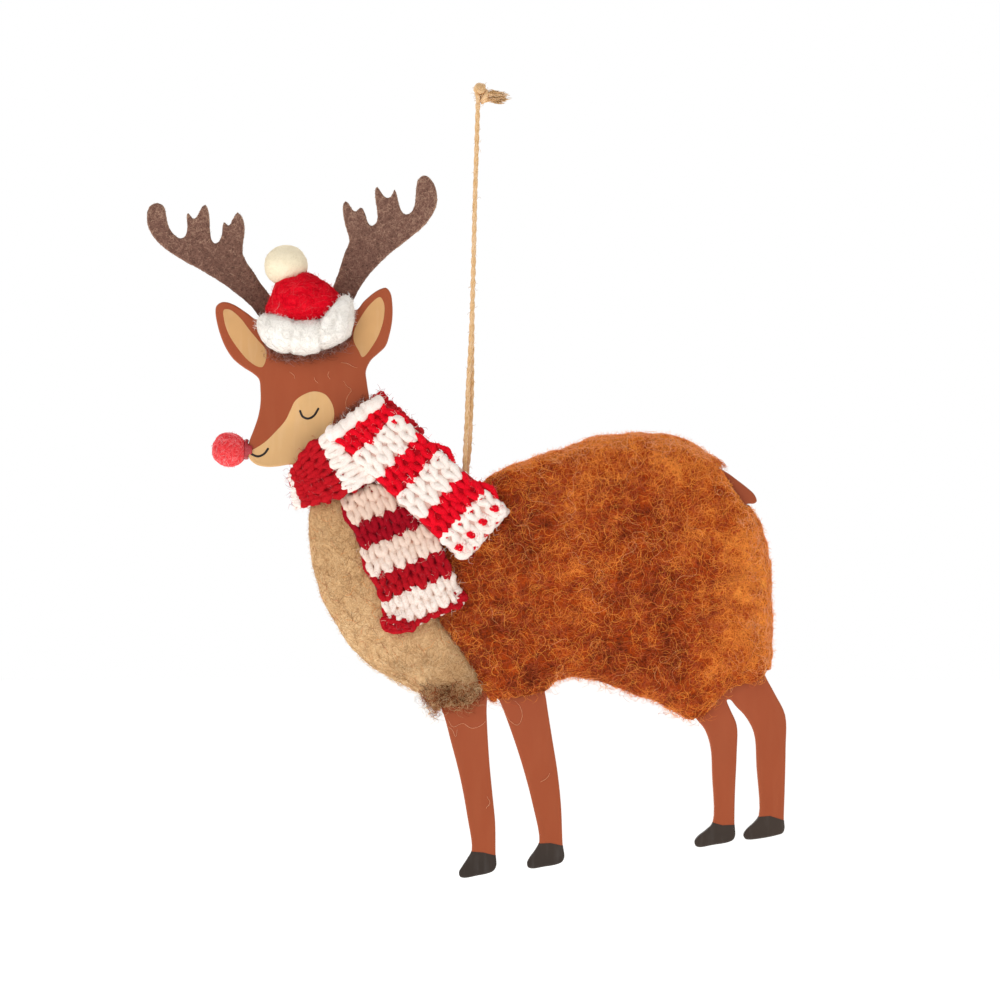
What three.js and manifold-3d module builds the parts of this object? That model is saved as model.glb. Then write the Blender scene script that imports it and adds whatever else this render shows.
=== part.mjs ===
// A hanging reindeer ornament: a painted wooden silhouette dressed in felted wool, with felt antlers,
// a wool hat, a felt ball for a nose, a knitted scarf and a loop of twine.
// Millimetres, +Z up. The nose points along -X and the painted side looks along -Y.
// The origin is where the twine loop hangs, just under its knot.
import * as THREE from "three";
import { mergeVertices } from "three/addons/utils/BufferGeometryUtils.js";
import Module from "manifold-3d";

const wasm = await Module();
wasm.setup();

// Driving dimensions
const FIT_GAP = 0.3;
const PLATE_THICKNESS = 3;
const EDGE_ROUNDING = 0.4;
const TOE_ROUNDING = 0.9;
const HEEL_ROUNDING = 1.4;
const HOLE_DIAMETER = 2.2;
const WOOL_OVERHANG = 2.4; // how far the wool stands out past the edge of the wood
const COAT_DEPTH = 6.5; // wool depths are taken from the middle of the wood
const CHEST_DEPTH = 5.6;
const NECK_WOOL_DEPTH = 4;
const FELT_THICKNESS = 3;
const FELT_ROUNDING = 0.25;
const HAT_DEPTH = 6.5;
const TRIM_DEPTH = 6;
const FORELOCK_DEPTH = 1.6;
const POMPOM_DIAMETER = 9.6;
const POMPOM_SINK = 1.5; // how far the ball is pressed into the tip of the hat
const NOSE_DIAMETER = 7.6;
const NOSE_GLUE_DIAMETER = 4.4;
const NOSE_GLUE_LENGTH = 2.2;
const SCARF_THICKNESS = 2.2;
const LOOP_WIDTH = 14;
const UPPER_TAIL_WIDTH = 15.4;
const UPPER_TAIL_LENGTH = 41.5;
const LOWER_TAIL_WIDTH = 18;
const LOWER_TAIL_LENGTH = 31;
const TWINE_DIAMETER = 1.1;
const TWINE_BEND = 2.4; // radius of the turn where the twine leaves the hole
const STRAND_SPREAD = 0.42; // how far each strand stands aside of the other where they part
const NAPE_REACH = 7.2; // from the middle of the scarf's crossing to the nape
const KNOT_RADIUS = 1.9;
const KNOT_WRAP_PITCH = 68;
const KNOT_WRAP_YAW = 24;
const KNOT_WRAP_RISE = 0.3;

// Directions and places, as [x, z] in the plane of the wood
const UPPER_TAIL_HEADING = -42;
const LOWER_TAIL_HEADING = -68;
const UPPER_TAIL_FOLD = [-29.3, -69.8];
const LOWER_TAIL_TOP = [-22.3, -87.5];
const HOLE = [-2.6, -89.5];
const SNOUT_TIP = [-51.6, -78.7];
const HAT_TIP = [-40.6, -39.5];
const POMPOM_LEAN = 134;
const KNOT_CENTRE = new THREE.Vector3(1, 0, 1.4);

// How finely curves are cut
const OUTLINE_STEPS = 2;
const SHORTEST_EDGE = 0.05;
const ROUNDING_STEPS = 1;
const BALL_STEPS = 18;
const TWINE_SIDES = 8;
const STRAND_STEPS = 34;
const BIGHT_STEPS = 4;
const END_STEPS = 6;
const LOOP_STEPS = 40;
const TAIL_STEPS = 12;
const RING_SHARES = [0.4, 0.68, 0.86, 0.96, 1];

// Shape of a wool pad: how flat its crown is and how round its edge
const CROWN_FLATNESS = 2.6;
const EDGE_ROUNDNESS = 2.2;

const HALF_PLATE = PLATE_THICKNESS / 2;

// Solid helpers

// A closed geometry as a solid that can be joined and cut.
function solidOf(geometry) {
  const bare = geometry.clone();
  bare.deleteAttribute("normal");
  bare.deleteAttribute("uv");
  const merged = mergeVertices(bare, 1e-4);
  const mesh = new wasm.Mesh({
    numProp: 3,
    vertProperties: merged.attributes.position.array,
    triVerts: new Uint32Array(merged.index.array),
  });
  return new wasm.Manifold(mesh);
}

function geometryOf(solid) {
  const mesh = solid.getMesh();
  const geometry = new THREE.BufferGeometry();
  geometry.setAttribute("position", new THREE.BufferAttribute(mesh.vertProperties, 3));
  geometry.setIndex(new THREE.BufferAttribute(mesh.triVerts, 1));
  geometry.computeVertexNormals();
  return geometry;
}

function joined(geometries) {
  return geometries.map(solidOf).reduce((whole, piece) => whole.add(piece));
}

// The piece of a geometry that is left once the cutters are taken away.
function cut(geometry, ...cutters) {
  return geometryOf(cutters.reduce((left, cutter) => left.subtract(cutter), solidOf(geometry)));
}

// Closed surface through rings of points, with a fan at each end, or joined end to start without them.
function loft(rings, start, end) {
  const count = rings[0].length;
  const points = rings.flat();
  const faces = [];
  const spans = start ? rings.length - 1 : rings.length;
  for (let span = 0; span < spans; span += 1) {
    const near = span * count;
    const far = ((span + 1) % rings.length) * count;
    for (let i = 0; i < count; i += 1) {
      const next = (i + 1) % count;
      faces.push([near + i, far + i, far + next], [near + i, far + next, near + next]);
    }
  }
  if (start) {
    const last = (rings.length - 1) * count;
    for (let i = 0; i < count; i += 1) {
      const next = (i + 1) % count;
      faces.push([points.length, i, next], [points.length + 1, last + next, last + i]);
    }
    points.push(start, end);
  }
  const volume = faces.reduce(
    (sum, [a, b, c]) => sum + points[a].dot(points[b].clone().cross(points[c])),
    0,
  );
  const index = volume > 0 ? faces : faces.map(([a, b, c]) => [a, c, b]);
  const geometry = new THREE.BufferGeometry().setFromPoints(points);
  geometry.setIndex(index.flat());
  geometry.computeVertexNormals();
  return geometry;
}

// Flat outlines

const flat = ([x, z]) => new THREE.Vector2(x, z);

function smoothOutline(points) {
  const corners = points.map(([x, z]) => new THREE.Vector3(x, z, 0));
  const curve = new THREE.CatmullRomCurve3(corners, true, "centripetal");
  const cuts = curve.getPoints(points.length * OUTLINE_STEPS).slice(0, -1);
  return cuts.map((p) => new THREE.Vector2(p.x, p.y));
}

// The outline drawn in towards a point by a distance.
function drawnIn(outline, centre, distance) {
  return outline.map((p) => p.clone().add(centre.clone().sub(p).setLength(distance)));
}

// The outline moved out square to itself by a distance.
function widened(outline, distance) {
  return outline.map((p, i) => {
    const run = outline[(i + 1) % outline.length].clone().sub(outline.at(i - 1)).normalize();
    return new THREE.Vector2(p.x + run.y * distance, p.y - run.x * distance);
  });
}

// A flat piece of an outline between two depths, with rounded edges.
function slab(outline, front, back, rounding, growth = 0) {
  const geometry = new THREE.ExtrudeGeometry(new THREE.Shape(outline), {
    depth: back - front - 2 * rounding,
    steps: 1,
    bevelThickness: rounding,
    bevelSize: rounding,
    bevelOffset: growth - rounding,
    bevelSegments: ROUNDING_STEPS,
  });
  geometry.rotateX(Math.PI / 2);
  geometry.translate(0, back - rounding, 0);
  return geometry;
}

// Wool pads: crowned forms that swell from an outline, to one side or to both

const swell = (share) => (1 - share ** CROWN_FLATNESS) ** (1 / EDGE_ROUNDNESS);

function pad(outline, centre, depth) {
  return { outline, centre: flat(centre), depth };
}

function grown(wool, growth) {
  return { ...wool, outline: widened(wool.outline, growth), depth: wool.depth + growth };
}

// The pad as a closed surface: seated on a plane and swelling forward, or round the wood on both sides.
function padGeometry(wool, seat, twoSided) {
  const { outline, centre, depth } = wool;
  const ring = (share, side) =>
    outline.map((p) => {
      const at = centre.clone().lerp(p, share);
      return new THREE.Vector3(at.x, seat + side * depth * swell(share), at.y);
    });
  const front = RING_SHARES.map((share) => ring(share, -1));
  const inner = RING_SHARES.slice(0, -1).reverse();
  const back = twoSided ? inner.map((share) => ring(share, 1)) : [];
  const crown = new THREE.Vector3(centre.x, seat - depth, centre.y);
  const rear = new THREE.Vector3(centre.x, twoSided ? seat + depth : seat, centre.y);
  return loft([...front, ...back], crown, rear);
}

// How far a two-sided pad stands out from the middle of the wood at a point.
function depthAt(wool, point) {
  const { outline, centre, depth } = wool;
  const ray = point.clone().sub(centre);
  let share = 0;
  outline.forEach((a, i) => {
    const side = outline[(i + 1) % outline.length].clone().sub(a);
    const arm = a.clone().sub(centre);
    const turn = ray.cross(side);
    if (Math.abs(turn) < 1e-9) return;
    const reach = arm.cross(side) / turn;
    const along = arm.cross(ray) / turn;
    if (reach > 0 && along >= 0 && along <= 1) share = 1 / reach;
  });
  return share < 1 ? depth * swell(share) : 0;
}

// Outlines of the wood, against the clock as the painted side is seen

const SKULL = smoothOutline([
  [-48.7, -63], [-48.8, -68], [-49.7, -72.6], [-51.1, -76.4], SNOUT_TIP, [-51.1, -80.7],
  [-49, -82.2], [-45.5, -82.5], [-41.9, -82], [-36, -81.8], [-30, -79.5], [-24.8, -74],
  [-24.3, -67], [-24.9, -61.5], [-25.6, -54], [-28, -47.8], [-33, -45.2], [-40, -45],
  [-46, -46.8], [-48.4, -52], [-48.9, -58],
]);
const LEFT_EAR = smoothOutline([
  [-58.8, -47.6], [-58.4, -50.4], [-57.3, -54.2], [-54.9, -58.2], [-52, -60.5], [-48.6, -62.6],
  [-45, -59], [-46.5, -53], [-49, -49.9], [-51.8, -47.9], [-55, -46], [-57.6, -45.6],
]);
const RIGHT_EAR = smoothOutline([
  [-20.9, -42.2], [-22.9, -43.1], [-25.4, -45.2], [-28, -48.6], [-30, -54], [-28.5, -59],
  [-25, -60.4], [-22.6, -57.5], [-20.6, -55.4], [-19.5, -52], [-19, -48], [-19.3, -44.2],
]);
const NECK = smoothOutline([
  [-30, -73], [-37, -80], [-37, -86], [-36, -91.5], [-33.8, -98.5], [-28, -112], [-12, -126],
  [6, -122], [12, -104], [10, -92], [3, -88.3], [-2.6, -86.3], [-9, -82.6], [-15, -77.2],
  [-20, -71.9], [-24.5, -69.5],
]);
const TAIL = smoothOutline([
  [48, -86], [50, -92.5], [56, -91.6], [60.6, -90.9], [62.7, -90.6], [62.1, -88.4], [59.6, -86.3],
  [56.2, -84], [52, -82],
]);

// Each leg: its front edge downwards, the corners of its hoof, and its back edge upwards
const LEGS = [
  {
    front: [[-10, -130], [-8, -137], [-5.8, -144.6], [-3.8, -152.4], [-2.2, -161], [-1.2, -168.8]],
    toe: [-4.7, -175.1],
    heel: [4.4, -173.5],
    back: [[4.2, -169.9], [4.1, -162.6], [3.5, -156.4], [2.8, -149], [2.3, -140], [2, -130]],
  },
  {
    front: [[3, -129], [5.2, -135.5], [8, -142.9], [10.4, -150.4], [12.4, -158], [14, -166.8]],
    toe: [10.5, -173.1],
    heel: [19.8, -171.6],
    back: [[19.3, -167.7], [18.9, -158.6], [18.1, -151], [16.9, -143.5], [15.6, -135], [14.8, -127]],
  },
  {
    front: [[46, -131], [49, -138.8], [51.2, -141.6], [52.5, -145.5], [52.9, -152], [53, -162.6]],
    toe: [48.2, -168.3],
    heel: [58.2, -166.7],
    back: [[57.9, -163.1], [58, -156], [58.4, -147], [58.4, -140.6], [56.6, -136.4], [55, -129]],
  },
  {
    front: [[54, -129], [56.6, -134.8], [60.3, -138.6], [62.3, -142.4], [62.9, -150], [63.4, -161]],
    toe: [59.2, -166.6],
    heel: [69.2, -165],
    back: [[69, -162], [69.2, -155], [69.4, -146], [69.3, -138.4], [67, -133.6], [64.6, -127]],
  },
];

function legOutline({ front, toe, heel, back }) {
  const path = new THREE.Path();
  const rounded = (corner, before, after, radius) => {
    const arrive = before.clone().sub(corner).normalize();
    const depart = after.clone().sub(corner).normalize();
    const halfAngle = Math.acos(arrive.dot(depart)) / 2;
    const middle = arrive.clone().add(depart).setLength(radius / Math.sin(halfAngle)).add(corner);
    const reach = radius / Math.tan(halfAngle);
    const start = corner.clone().addScaledVector(arrive, reach).sub(middle);
    const end = corner.clone().addScaledVector(depart, reach).sub(middle);
    path.absarc(middle.x, middle.y, radius, start.angle(), end.angle(), false);
  };
  path.moveTo(...front[0]);
  path.splineThru(front.slice(1).map(flat));
  rounded(flat(toe), flat(front.at(-1)), flat(heel), TOE_ROUNDING);
  rounded(flat(heel), flat(toe), flat(back[0]), HEEL_ROUNDING);
  path.lineTo(...back[0]);
  path.splineThru(back.slice(1).map(flat));
  const points = path.getPoints(OUTLINE_STEPS + 1);
  return points.filter((p, i) => p.distanceTo(points.at(i - 1)) > SHORTEST_EDGE);
}

// Outlines of the wool and felt

const COAT = pad(
  smoothOutline([
    [1.2, -86.4], [-1.5, -91.5], [-8.5, -95], [-15, -99.5], [-16.5, -105], [-16, -111], [-12.5, -118],
    [-8, -124.2], [-4, -129.4], [0, -133.2], [3.2, -135.2], [6, -135.6], [10, -134.4], [14.8, -133.4],
    [16.4, -131.2], [19.4, -129.9], [23.4, -129.6], [28, -130.4], [34, -132.8], [40, -135],
    [45.5, -137.5], [50, -140], [52.8, -138.3], [55.2, -135], [58, -133], [61.6, -131.9],
    [65.4, -130.6], [65.8, -126], [66.3, -117], [65.9, -107], [64.9, -99.5], [62.8, -94], [60.6, -90.6],
    [58.4, -87], [56.2, -83.6], [53.7, -81.1], [50, -78.2], [45.5, -76.3], [40, -75.3], [33, -75.1],
    [27, -76.1], [20, -78.6], [13, -80.9], [7, -83], [3.8, -84.8],
  ]),
  [30, -106],
  COAT_DEPTH,
);
const CHEST = pad(
  smoothOutline([
    [-34, -87.4], [-37, -90.5], [-37.6, -97], [-36.8, -104], [-34.8, -111], [-31.6, -117.7],
    [-27.4, -123.5], [-22.5, -128], [-16.5, -131.3], [-11.8, -133.7], [-9, -137], [-4.6, -137.3],
    [-0.6, -136.6], [1.6, -134.4], [0.7, -130], [-3, -123.8], [-8, -117.3], [-11.5, -110],
    [-12.5, -102], [-13.8, -95], [-18, -89.5], [-26, -87.2],
  ]),
  [-20, -111],
  CHEST_DEPTH,
);
const NECK_WOOL = pad(
  smoothOutline([
    [-28, -72], [-33, -76.4], [-37.6, -80.6], [-38.7, -84.5], [-37.2, -88.4], [-28, -89],
    [-18, -88], [-11, -86], [-8.2, -83.4], [-9.6, -80.4], [-14.2, -75.8], [-19, -71.4], [-24.3, -68],
  ]),
  [-25, -79.5],
  NECK_WOOL_DEPTH,
);
const TRIM = pad(
  smoothOutline([
    [-48.6, -48.6], [-49.3, -51], [-48.2, -54.2], [-44.8, -56.5], [-41, -57.2], [-36.5, -57.1],
    [-33.8, -56], [-30.6, -54.6], [-28.3, -52.6], [-27.7, -48.8], [-28.3, -44.9], [-30.2, -44.3],
    [-32.2, -47.4], [-35, -49.4], [-38, -49.7], [-41, -49.7], [-44, -48.8],
  ]),
  [-36.5, -52.6],
  TRIM_DEPTH,
);
const FORELOCK = pad(
  smoothOutline([
    [-48.4, -51.6], [-49, -54.6], [-47.4, -57.8], [-44.6, -59.4], [-41, -59.9], [-37, -59.4],
    [-33.6, -58], [-30.2, -56.6], [-27.6, -54.6], [-27.4, -51], [-30, -49.4], [-36.5, -51],
    [-43.5, -50.8],
  ]),
  [-38, -54.6],
  FORELOCK_DEPTH,
);
const HAT = pad(
  smoothOutline([
    [-43.9, -40.2], [-46, -44], [-47.2, -47.6], [-46, -50.2], [-41, -51.2], [-35, -51],
    [-31, -48.6], [-30.2, -45.2], [-32.8, -42.4], [-36, -40.3], [-39, -38.9], HAT_TIP,
  ]),
  [-39.5, -45],
  HAT_DEPTH,
);
const LEFT_ANTLER = smoothOutline([
  [-74.4, -26.3], [-73.9, -28.9], [-72, -31.8], [-68.3, -34.7], [-62, -38.2], [-56, -42], [-50.7, -46.4],
  [-46, -52], [-42, -51], [-43, -47.5], [-46.8, -43.9], [-50.4, -38.8], [-53, -34.4], [-52.5, -29.8],
  [-52.8, -26.8], [-54, -25.2], [-54.9, -26.6], [-56, -28.4], [-57.1, -27.2], [-57.4, -30], [-58.2, -31.9],
  [-59.4, -32.2], [-60.2, -30.8], [-60.4, -26.5], [-61.2, -23.5], [-62.2, -24.4], [-63.2, -26.4],
  [-64.2, -26.7], [-65.4, -24.8], [-65.2, -28.4], [-65.8, -30.7], [-67.2, -31.1], [-69, -29.4],
  [-70.1, -26.8], [-70.6, -23.9], [-72.2, -23.1], [-73.8, -23.9],
]);
const RIGHT_ANTLER = smoothOutline([
  [-30.2, -23.8], [-30, -26.5], [-29.2, -29.4], [-28.7, -31.6], [-29.8, -34.4], [-31.2, -39], [-33, -43.6],
  [-34.5, -49], [-30, -50.5], [-28, -45], [-25.6, -40.7], [-22.6, -37.1], [-18.6, -33.4], [-12.9, -29],
  [-10.2, -25.8], [-9, -22.3], [-9.8, -18.6], [-11.8, -16.8], [-13.4, -18], [-13.8, -22.4], [-14.6, -25],
  [-16, -25.8], [-17.2, -24.8], [-17.9, -22.4], [-18.6, -20.1], [-19.4, -21.8], [-20.6, -21.9],
  [-21.8, -20.4], [-22.7, -19.3], [-22.9, -21.9], [-22.4, -25], [-22.5, -27.2], [-23.6, -28.3],
  [-24.7, -27.6], [-25.3, -25.4], [-26.2, -24], [-27.4, -25.2], [-28.5, -24], [-29.6, -22.6],
]);

// The wooden silhouette: head, ears, neck, trunk, legs and tail cut from one board, with the twine's hole

function plateSolid(growth) {
  const trunk = [COAT, CHEST].map((wool) => drawnIn(wool.outline, wool.centre, WOOL_OVERHANG));
  const outlines = [SKULL, LEFT_EAR, RIGHT_EAR, NECK, TAIL, ...trunk, ...LEGS.map(legOutline)];
  const face = HALF_PLATE + growth;
  return joined(outlines.map((outline) => slab(outline, -face, face, EDGE_ROUNDING, growth)));
}

function holeCutter() {
  const bore = new THREE.CylinderGeometry(
    HOLE_DIAMETER / 2, HOLE_DIAMETER / 2, 2 * PLATE_THICKNESS, BALL_STEPS,
  );
  bore.translate(HOLE[0], 0, HOLE[1]);
  return solidOf(bore);
}

const plateRoom = plateSolid(FIT_GAP);
const plate = geometryOf(plateSolid(0).subtract(holeCutter()));

// The wool: coat, chest and neck wrap the wood on both sides, and each keeps clear of the next

const chestRoom = solidOf(padGeometry(grown(CHEST, FIT_GAP), 0, true));
const coat = cut(padGeometry(COAT, 0, true), plateRoom, chestRoom);
const neckRoom = solidOf(padGeometry(grown(NECK_WOOL, FIT_GAP), 0, true));

// The hat and the tuft under it are glued to the painted side, one on the other

const faceSeat = -(HALF_PLATE + FIT_GAP);
const trimSeat = faceSeat - FORELOCK_DEPTH - FIT_GAP;
const forelock = padGeometry(FORELOCK, faceSeat, false);
const trim = padGeometry(TRIM, trimSeat, false);

function ball(diameter, growth = 0) {
  return new THREE.SphereGeometry(diameter / 2 + growth, BALL_STEPS, BALL_STEPS / 2 + 2);
}

const pompomLean = THREE.MathUtils.degToRad(POMPOM_LEAN);
const pompomReach = POMPOM_DIAMETER / 2 - POMPOM_SINK;
const pompomCentre = new THREE.Vector3(
  HAT_TIP[0] + pompomReach * Math.cos(pompomLean),
  faceSeat,
  HAT_TIP[1] + pompomReach * Math.sin(pompomLean),
);
const pompomRoom = ball(POMPOM_DIAMETER, FIT_GAP).translate(...pompomCentre.toArray());
const padRoom = (wool, seat) => solidOf(padGeometry(grown(wool, 2 * FIT_GAP), seat + FIT_GAP, false));
const hat = cut(
  padGeometry(HAT, faceSeat, false),
  solidOf(pompomRoom),
  padRoom(TRIM, trimSeat),
  padRoom(FORELOCK, faceSeat),
);

// The felt antlers are glued flat to the back of the head

const antler = (outline) =>
  slab(outline, HALF_PLATE, HALF_PLATE + FELT_THICKNESS, FELT_ROUNDING);

// The nose is a felt ball on the tip of the snout, with a collar of glue round the joint

const noseCentre = new THREE.Vector3(
  SNOUT_TIP[0] - FIT_GAP - NOSE_DIAMETER / 2,
  0,
  SNOUT_TIP[1],
);
const noseRoom = ball(NOSE_DIAMETER, FIT_GAP).translate(...noseCentre.toArray());
const glueBlank = new THREE.CylinderGeometry(
  NOSE_GLUE_DIAMETER / 2, NOSE_GLUE_DIAMETER / 2, NOSE_GLUE_LENGTH, BALL_STEPS,
);
glueBlank.rotateZ(Math.PI / 2);
glueBlank.translate(SNOUT_TIP[0], 0, SNOUT_TIP[1]);
const noseGlue = cut(glueBlank, solidOf(noseRoom), plateRoom);

// The scarf: one knitted strip that goes once round the neck, with two tails

const heading = (degrees) => {
  const turn = THREE.MathUtils.degToRad(degrees);
  return {
    along: new THREE.Vector2(Math.cos(turn), Math.sin(turn)),
    across: new THREE.Vector2(-Math.sin(turn), Math.cos(turn)),
  };
};
const inPlane = (p, y) => new THREE.Vector3(p.x, y, p.y);

// A knitted strip through a row of stations, each with a centre, a direction across and a width.
function strip(stations, closed, growth = 0) {
  const half = SCARF_THICKNESS / 2 + growth;
  const rings = stations.map(({ centre, across, outward, width }) => {
    const edge = width / 2 + growth;
    const section = [
      [edge, -half / 2], [edge, half / 2], [edge - half, half], [half - edge, half],
      [-edge, half / 2], [-edge, -half / 2], [half - edge, -half], [edge - half, -half],
    ];
    return section.map(([a, n]) =>
      centre.clone().addScaledVector(across, a).addScaledVector(outward, n),
    );
  });
  if (closed) return loft(rings);
  return loft(rings, stations[0].centre, stations.at(-1).centre);
}

// The depth of a strip pulled taut over what lies under it: the least curve with no hollow in it.
function taut(depths) {
  return depths.map((_, i) => {
    let best = depths[i];
    for (let a = 0; a < i; a += 1) {
      for (let b = i + 1; b < depths.length; b += 1) {
        const share = (i - a) / (b - a);
        best = Math.max(best, depths[a] + (depths[b] - depths[a]) * share);
      }
    }
    return best;
  });
}

// Inner depths along a tail that lies on whatever the given function says is under it.
function drape(tail, under) {
  const start = flat(tail.start);
  const depths = [];
  for (let step = 0; step <= TAIL_STEPS; step += 1) {
    const distance = tail.from + ((tail.length - tail.from) * step) / TAIL_STEPS;
    const middle = start.clone().addScaledVector(tail.along, distance);
    const spread = [-0.5, -0.25, 0, 0.25, 0.5].map((share) =>
      under(middle.clone().addScaledVector(tail.across, share * tail.width), distance),
    );
    depths.push({ middle, distance, rest: Math.max(...spread) + FIT_GAP });
  }
  const pulled = taut(depths.map((d) => d.rest));
  return depths.map((d, i) => ({ ...d, inner: pulled[i] }));
}

// Stations of a tail from its draped depths, with the thickness square to its slope.
function tailStations(tail, path) {
  const across = inPlane(tail.across, 0);
  return path.map(({ centre }, i) => {
    const before = path[Math.max(i - 1, 0)].centre;
    const after = path[Math.min(i + 1, path.length - 1)].centre;
    const run = after.clone().sub(before).normalize();
    return { centre, across, outward: run.cross(across).normalize(), width: tail.width };
  });
}

const mid = SCARF_THICKNESS / 2;
const centreAt = (station) => ({ centre: inPlane(station.middle, -(station.inner + mid)) });

const lowerTail = {
  ...heading(LOWER_TAIL_HEADING),
  start: LOWER_TAIL_TOP,
  from: 0,
  length: LOWER_TAIL_LENGTH,
  width: LOWER_TAIL_WIDTH,
};
const woolDepth = (p) => Math.max(...[COAT, CHEST, NECK_WOOL].map((wool) => depthAt(wool, p)));
const lowerDrape = drape(lowerTail, woolDepth);
const lowerStrip = strip(tailStations(lowerTail, lowerDrape.map(centreAt)), false);

// How deep the lower tail's outer side lies at a point, or nothing outside it.
function lowerTailDepth(p) {
  const from = p.clone().sub(flat(lowerTail.start));
  const aside = Math.abs(from.dot(lowerTail.across));
  const step = (from.dot(lowerTail.along) / lowerTail.length) * TAIL_STEPS;
  if (aside > lowerTail.width / 2 || step < -1 || step > TAIL_STEPS + 1) return 0;
  const nearest = THREE.MathUtils.clamp(Math.round(step), 1, TAIL_STEPS - 1);
  const around = [nearest - 1, nearest, nearest + 1].map((i) => lowerDrape[i].inner);
  return Math.max(...around) + SCARF_THICKNESS;
}

// The loop round the neck, in stations from the throat across the front, the nape and the back
const upper = heading(UPPER_TAIL_HEADING);
const loopEdge = SCARF_THICKNESS + FIT_GAP;
const loopSide = NECK_WOOL_DEPTH + FIT_GAP + mid;
const loopCross = flat(UPPER_TAIL_FOLD).addScaledVector(upper.along, loopEdge + LOOP_WIDTH / 2);
const nape = loopCross.clone().addScaledVector(upper.across, NAPE_REACH);
const LOOP_STATIONS = [
  { at: [-40.7, -87.9], depth: 0, share: 0.57, lean: -84 },
  { at: [-35.4, -84.2], depth: -loopSide, share: 1, lean: -76 },
  { at: loopCross.toArray(), depth: -loopSide, share: 1, lean: UPPER_TAIL_HEADING },
  { at: nape.toArray(), depth: 0, share: 1, lean: UPPER_TAIL_HEADING },
  { at: [-23, -74], depth: loopSide, share: 0.95, lean: -50 },
  { at: [-30, -79.6], depth: loopSide, share: 0.85, lean: -62 },
  { at: [-37, -85.2], depth: loopSide * 0.9, share: 0.7, lean: -76 },
];

function neckLoop(growth) {
  const centres = LOOP_STATIONS.map(({ at, depth }) => new THREE.Vector3(at[0], depth, at[1]));
  const widths = LOOP_STATIONS.map(({ share, lean }) => new THREE.Vector3(share * LOOP_WIDTH, lean, 0));
  const route = new THREE.CatmullRomCurve3(centres, true, "centripetal");
  const manner = new THREE.CatmullRomCurve3(widths, true, "centripetal");
  const stations = [];
  for (let step = 0; step < LOOP_STEPS; step += 1) {
    const turn = step / LOOP_STEPS;
    const run = route.getTangent(turn);
    const { x: width, y: lean } = manner.getPoint(turn);
    const across = inPlane(heading(lean).along, 0);
    across.addScaledVector(run, -across.dot(run)).normalize();
    const outward = run.clone().cross(across).normalize();
    stations.push({ centre: route.getPoint(turn), across, outward, width });
  }
  return strip(stations, true, growth);
}

// The wool of the neck and the top of the chest is squeezed by the loop
const loopRoom = solidOf(neckLoop(FIT_GAP));
const neckWool = cut(padGeometry(NECK_WOOL, 0, true), plateRoom, loopRoom);
const chest = cut(padGeometry(CHEST, 0, true), plateRoom, neckRoom, loopRoom);

const upperTail = {
  ...upper,
  start: UPPER_TAIL_FOLD,
  from: loopEdge,
  length: UPPER_TAIL_LENGTH,
  width: UPPER_TAIL_WIDTH,
};
const loopOuter = loopSide + mid;
const upperUnder = (p, distance) => {
  const onLoop = distance < loopEdge + LOOP_WIDTH ? loopOuter : 0;
  return Math.max(onLoop, lowerTailDepth(p), woolDepth(p));
};
const upperDrape = drape(upperTail, upperUnder);

// The upper tail comes up behind the loop, folds over its edge and hangs down in front.
function foldedTail() {
  const foldLine = flat(UPPER_TAIL_FOLD).addScaledVector(upper.along, mid);
  const base = HALF_PLATE + FIT_GAP + mid;
  const crest = upperDrape[0].inner;
  const lip = [base, (base + crest) / 2, crest].map((depth) => ({ centre: inPlane(foldLine, -depth) }));
  const whole = strip(tailStations(upperTail, [...lip, ...upperDrape.map(centreAt)]), false);
  return cut(whole, loopRoom);
}

// The twine: a knot with two short ends, two strands, and the turn that passes through the wood

const twineRadius = TWINE_DIAMETER / 2;

// A round tube along a curve through the points.
function twine(points, steps) {
  const section = new THREE.Shape().absarc(0, 0, twineRadius, 0, 2 * Math.PI);
  return new THREE.ExtrudeGeometry(section, {
    steps,
    curveSegments: TWINE_SIDES / 2,
    extrudePath: new THREE.CatmullRomCurve3(points, false, "centripetal"),
  });
}

const bendStart = HALF_PLATE + 2 * FIT_GAP;
const BEND_TURNS = [0, 30, 60, 90];

// A strand above its bend, as [x, distance from the middle of the wood, z, share of the spread]
const STRAND_ROUTE = [
  [-2.6, 4.4, -84.5, 0.4], [-2.2, 2.9, -79, 1], [-1.85, 1.6, -72, 1], [-1.6, 0.8, -65, 1],
  [-1.3, 0.7, -56, 0.4], [-1, 0.7, -45, 0], [-0.7, 0.7, -33, 0], [-0.45, 0.7, -22, 0],
  [-0.1, 0.7, -11, 0], [0.2, 0.7, -0.9, 0],
];

// One strand: straight out of the hole, round the bend and up to the knot, on the front or the back.
function strand(side) {
  const bend = BEND_TURNS.map((degrees) => {
    const turn = THREE.MathUtils.degToRad(degrees);
    const out = bendStart + TWINE_BEND * Math.sin(turn);
    return new THREE.Vector3(HOLE[0], side * out, HOLE[1] + TWINE_BEND * (1 - Math.cos(turn)));
  });
  const rise = STRAND_ROUTE.map(([x, out, z, share]) =>
    new THREE.Vector3(x + side * share * STRAND_SPREAD, side * out, z),
  );
  return twine([...bend, ...rise], STRAND_STEPS);
}

function bight() {
  const end = bendStart - FIT_GAP;
  const across = [-end, 0, end].map((y) => new THREE.Vector3(HOLE[0], y, HOLE[1]));
  return twine(across, BIGHT_STEPS);
}

// The free ends of the twine, as [x, y, z] from the middle of the knot
const KNOT_ENDS = [
  [[0, -0.6, 0], [2.6, -0.7, -0.1], [5.4, -0.6, -0.7]],
  [[0, 0.6, -0.4], [2.4, 0.7, -0.8], [4.6, 0.7, -1.7]],
];

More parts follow.
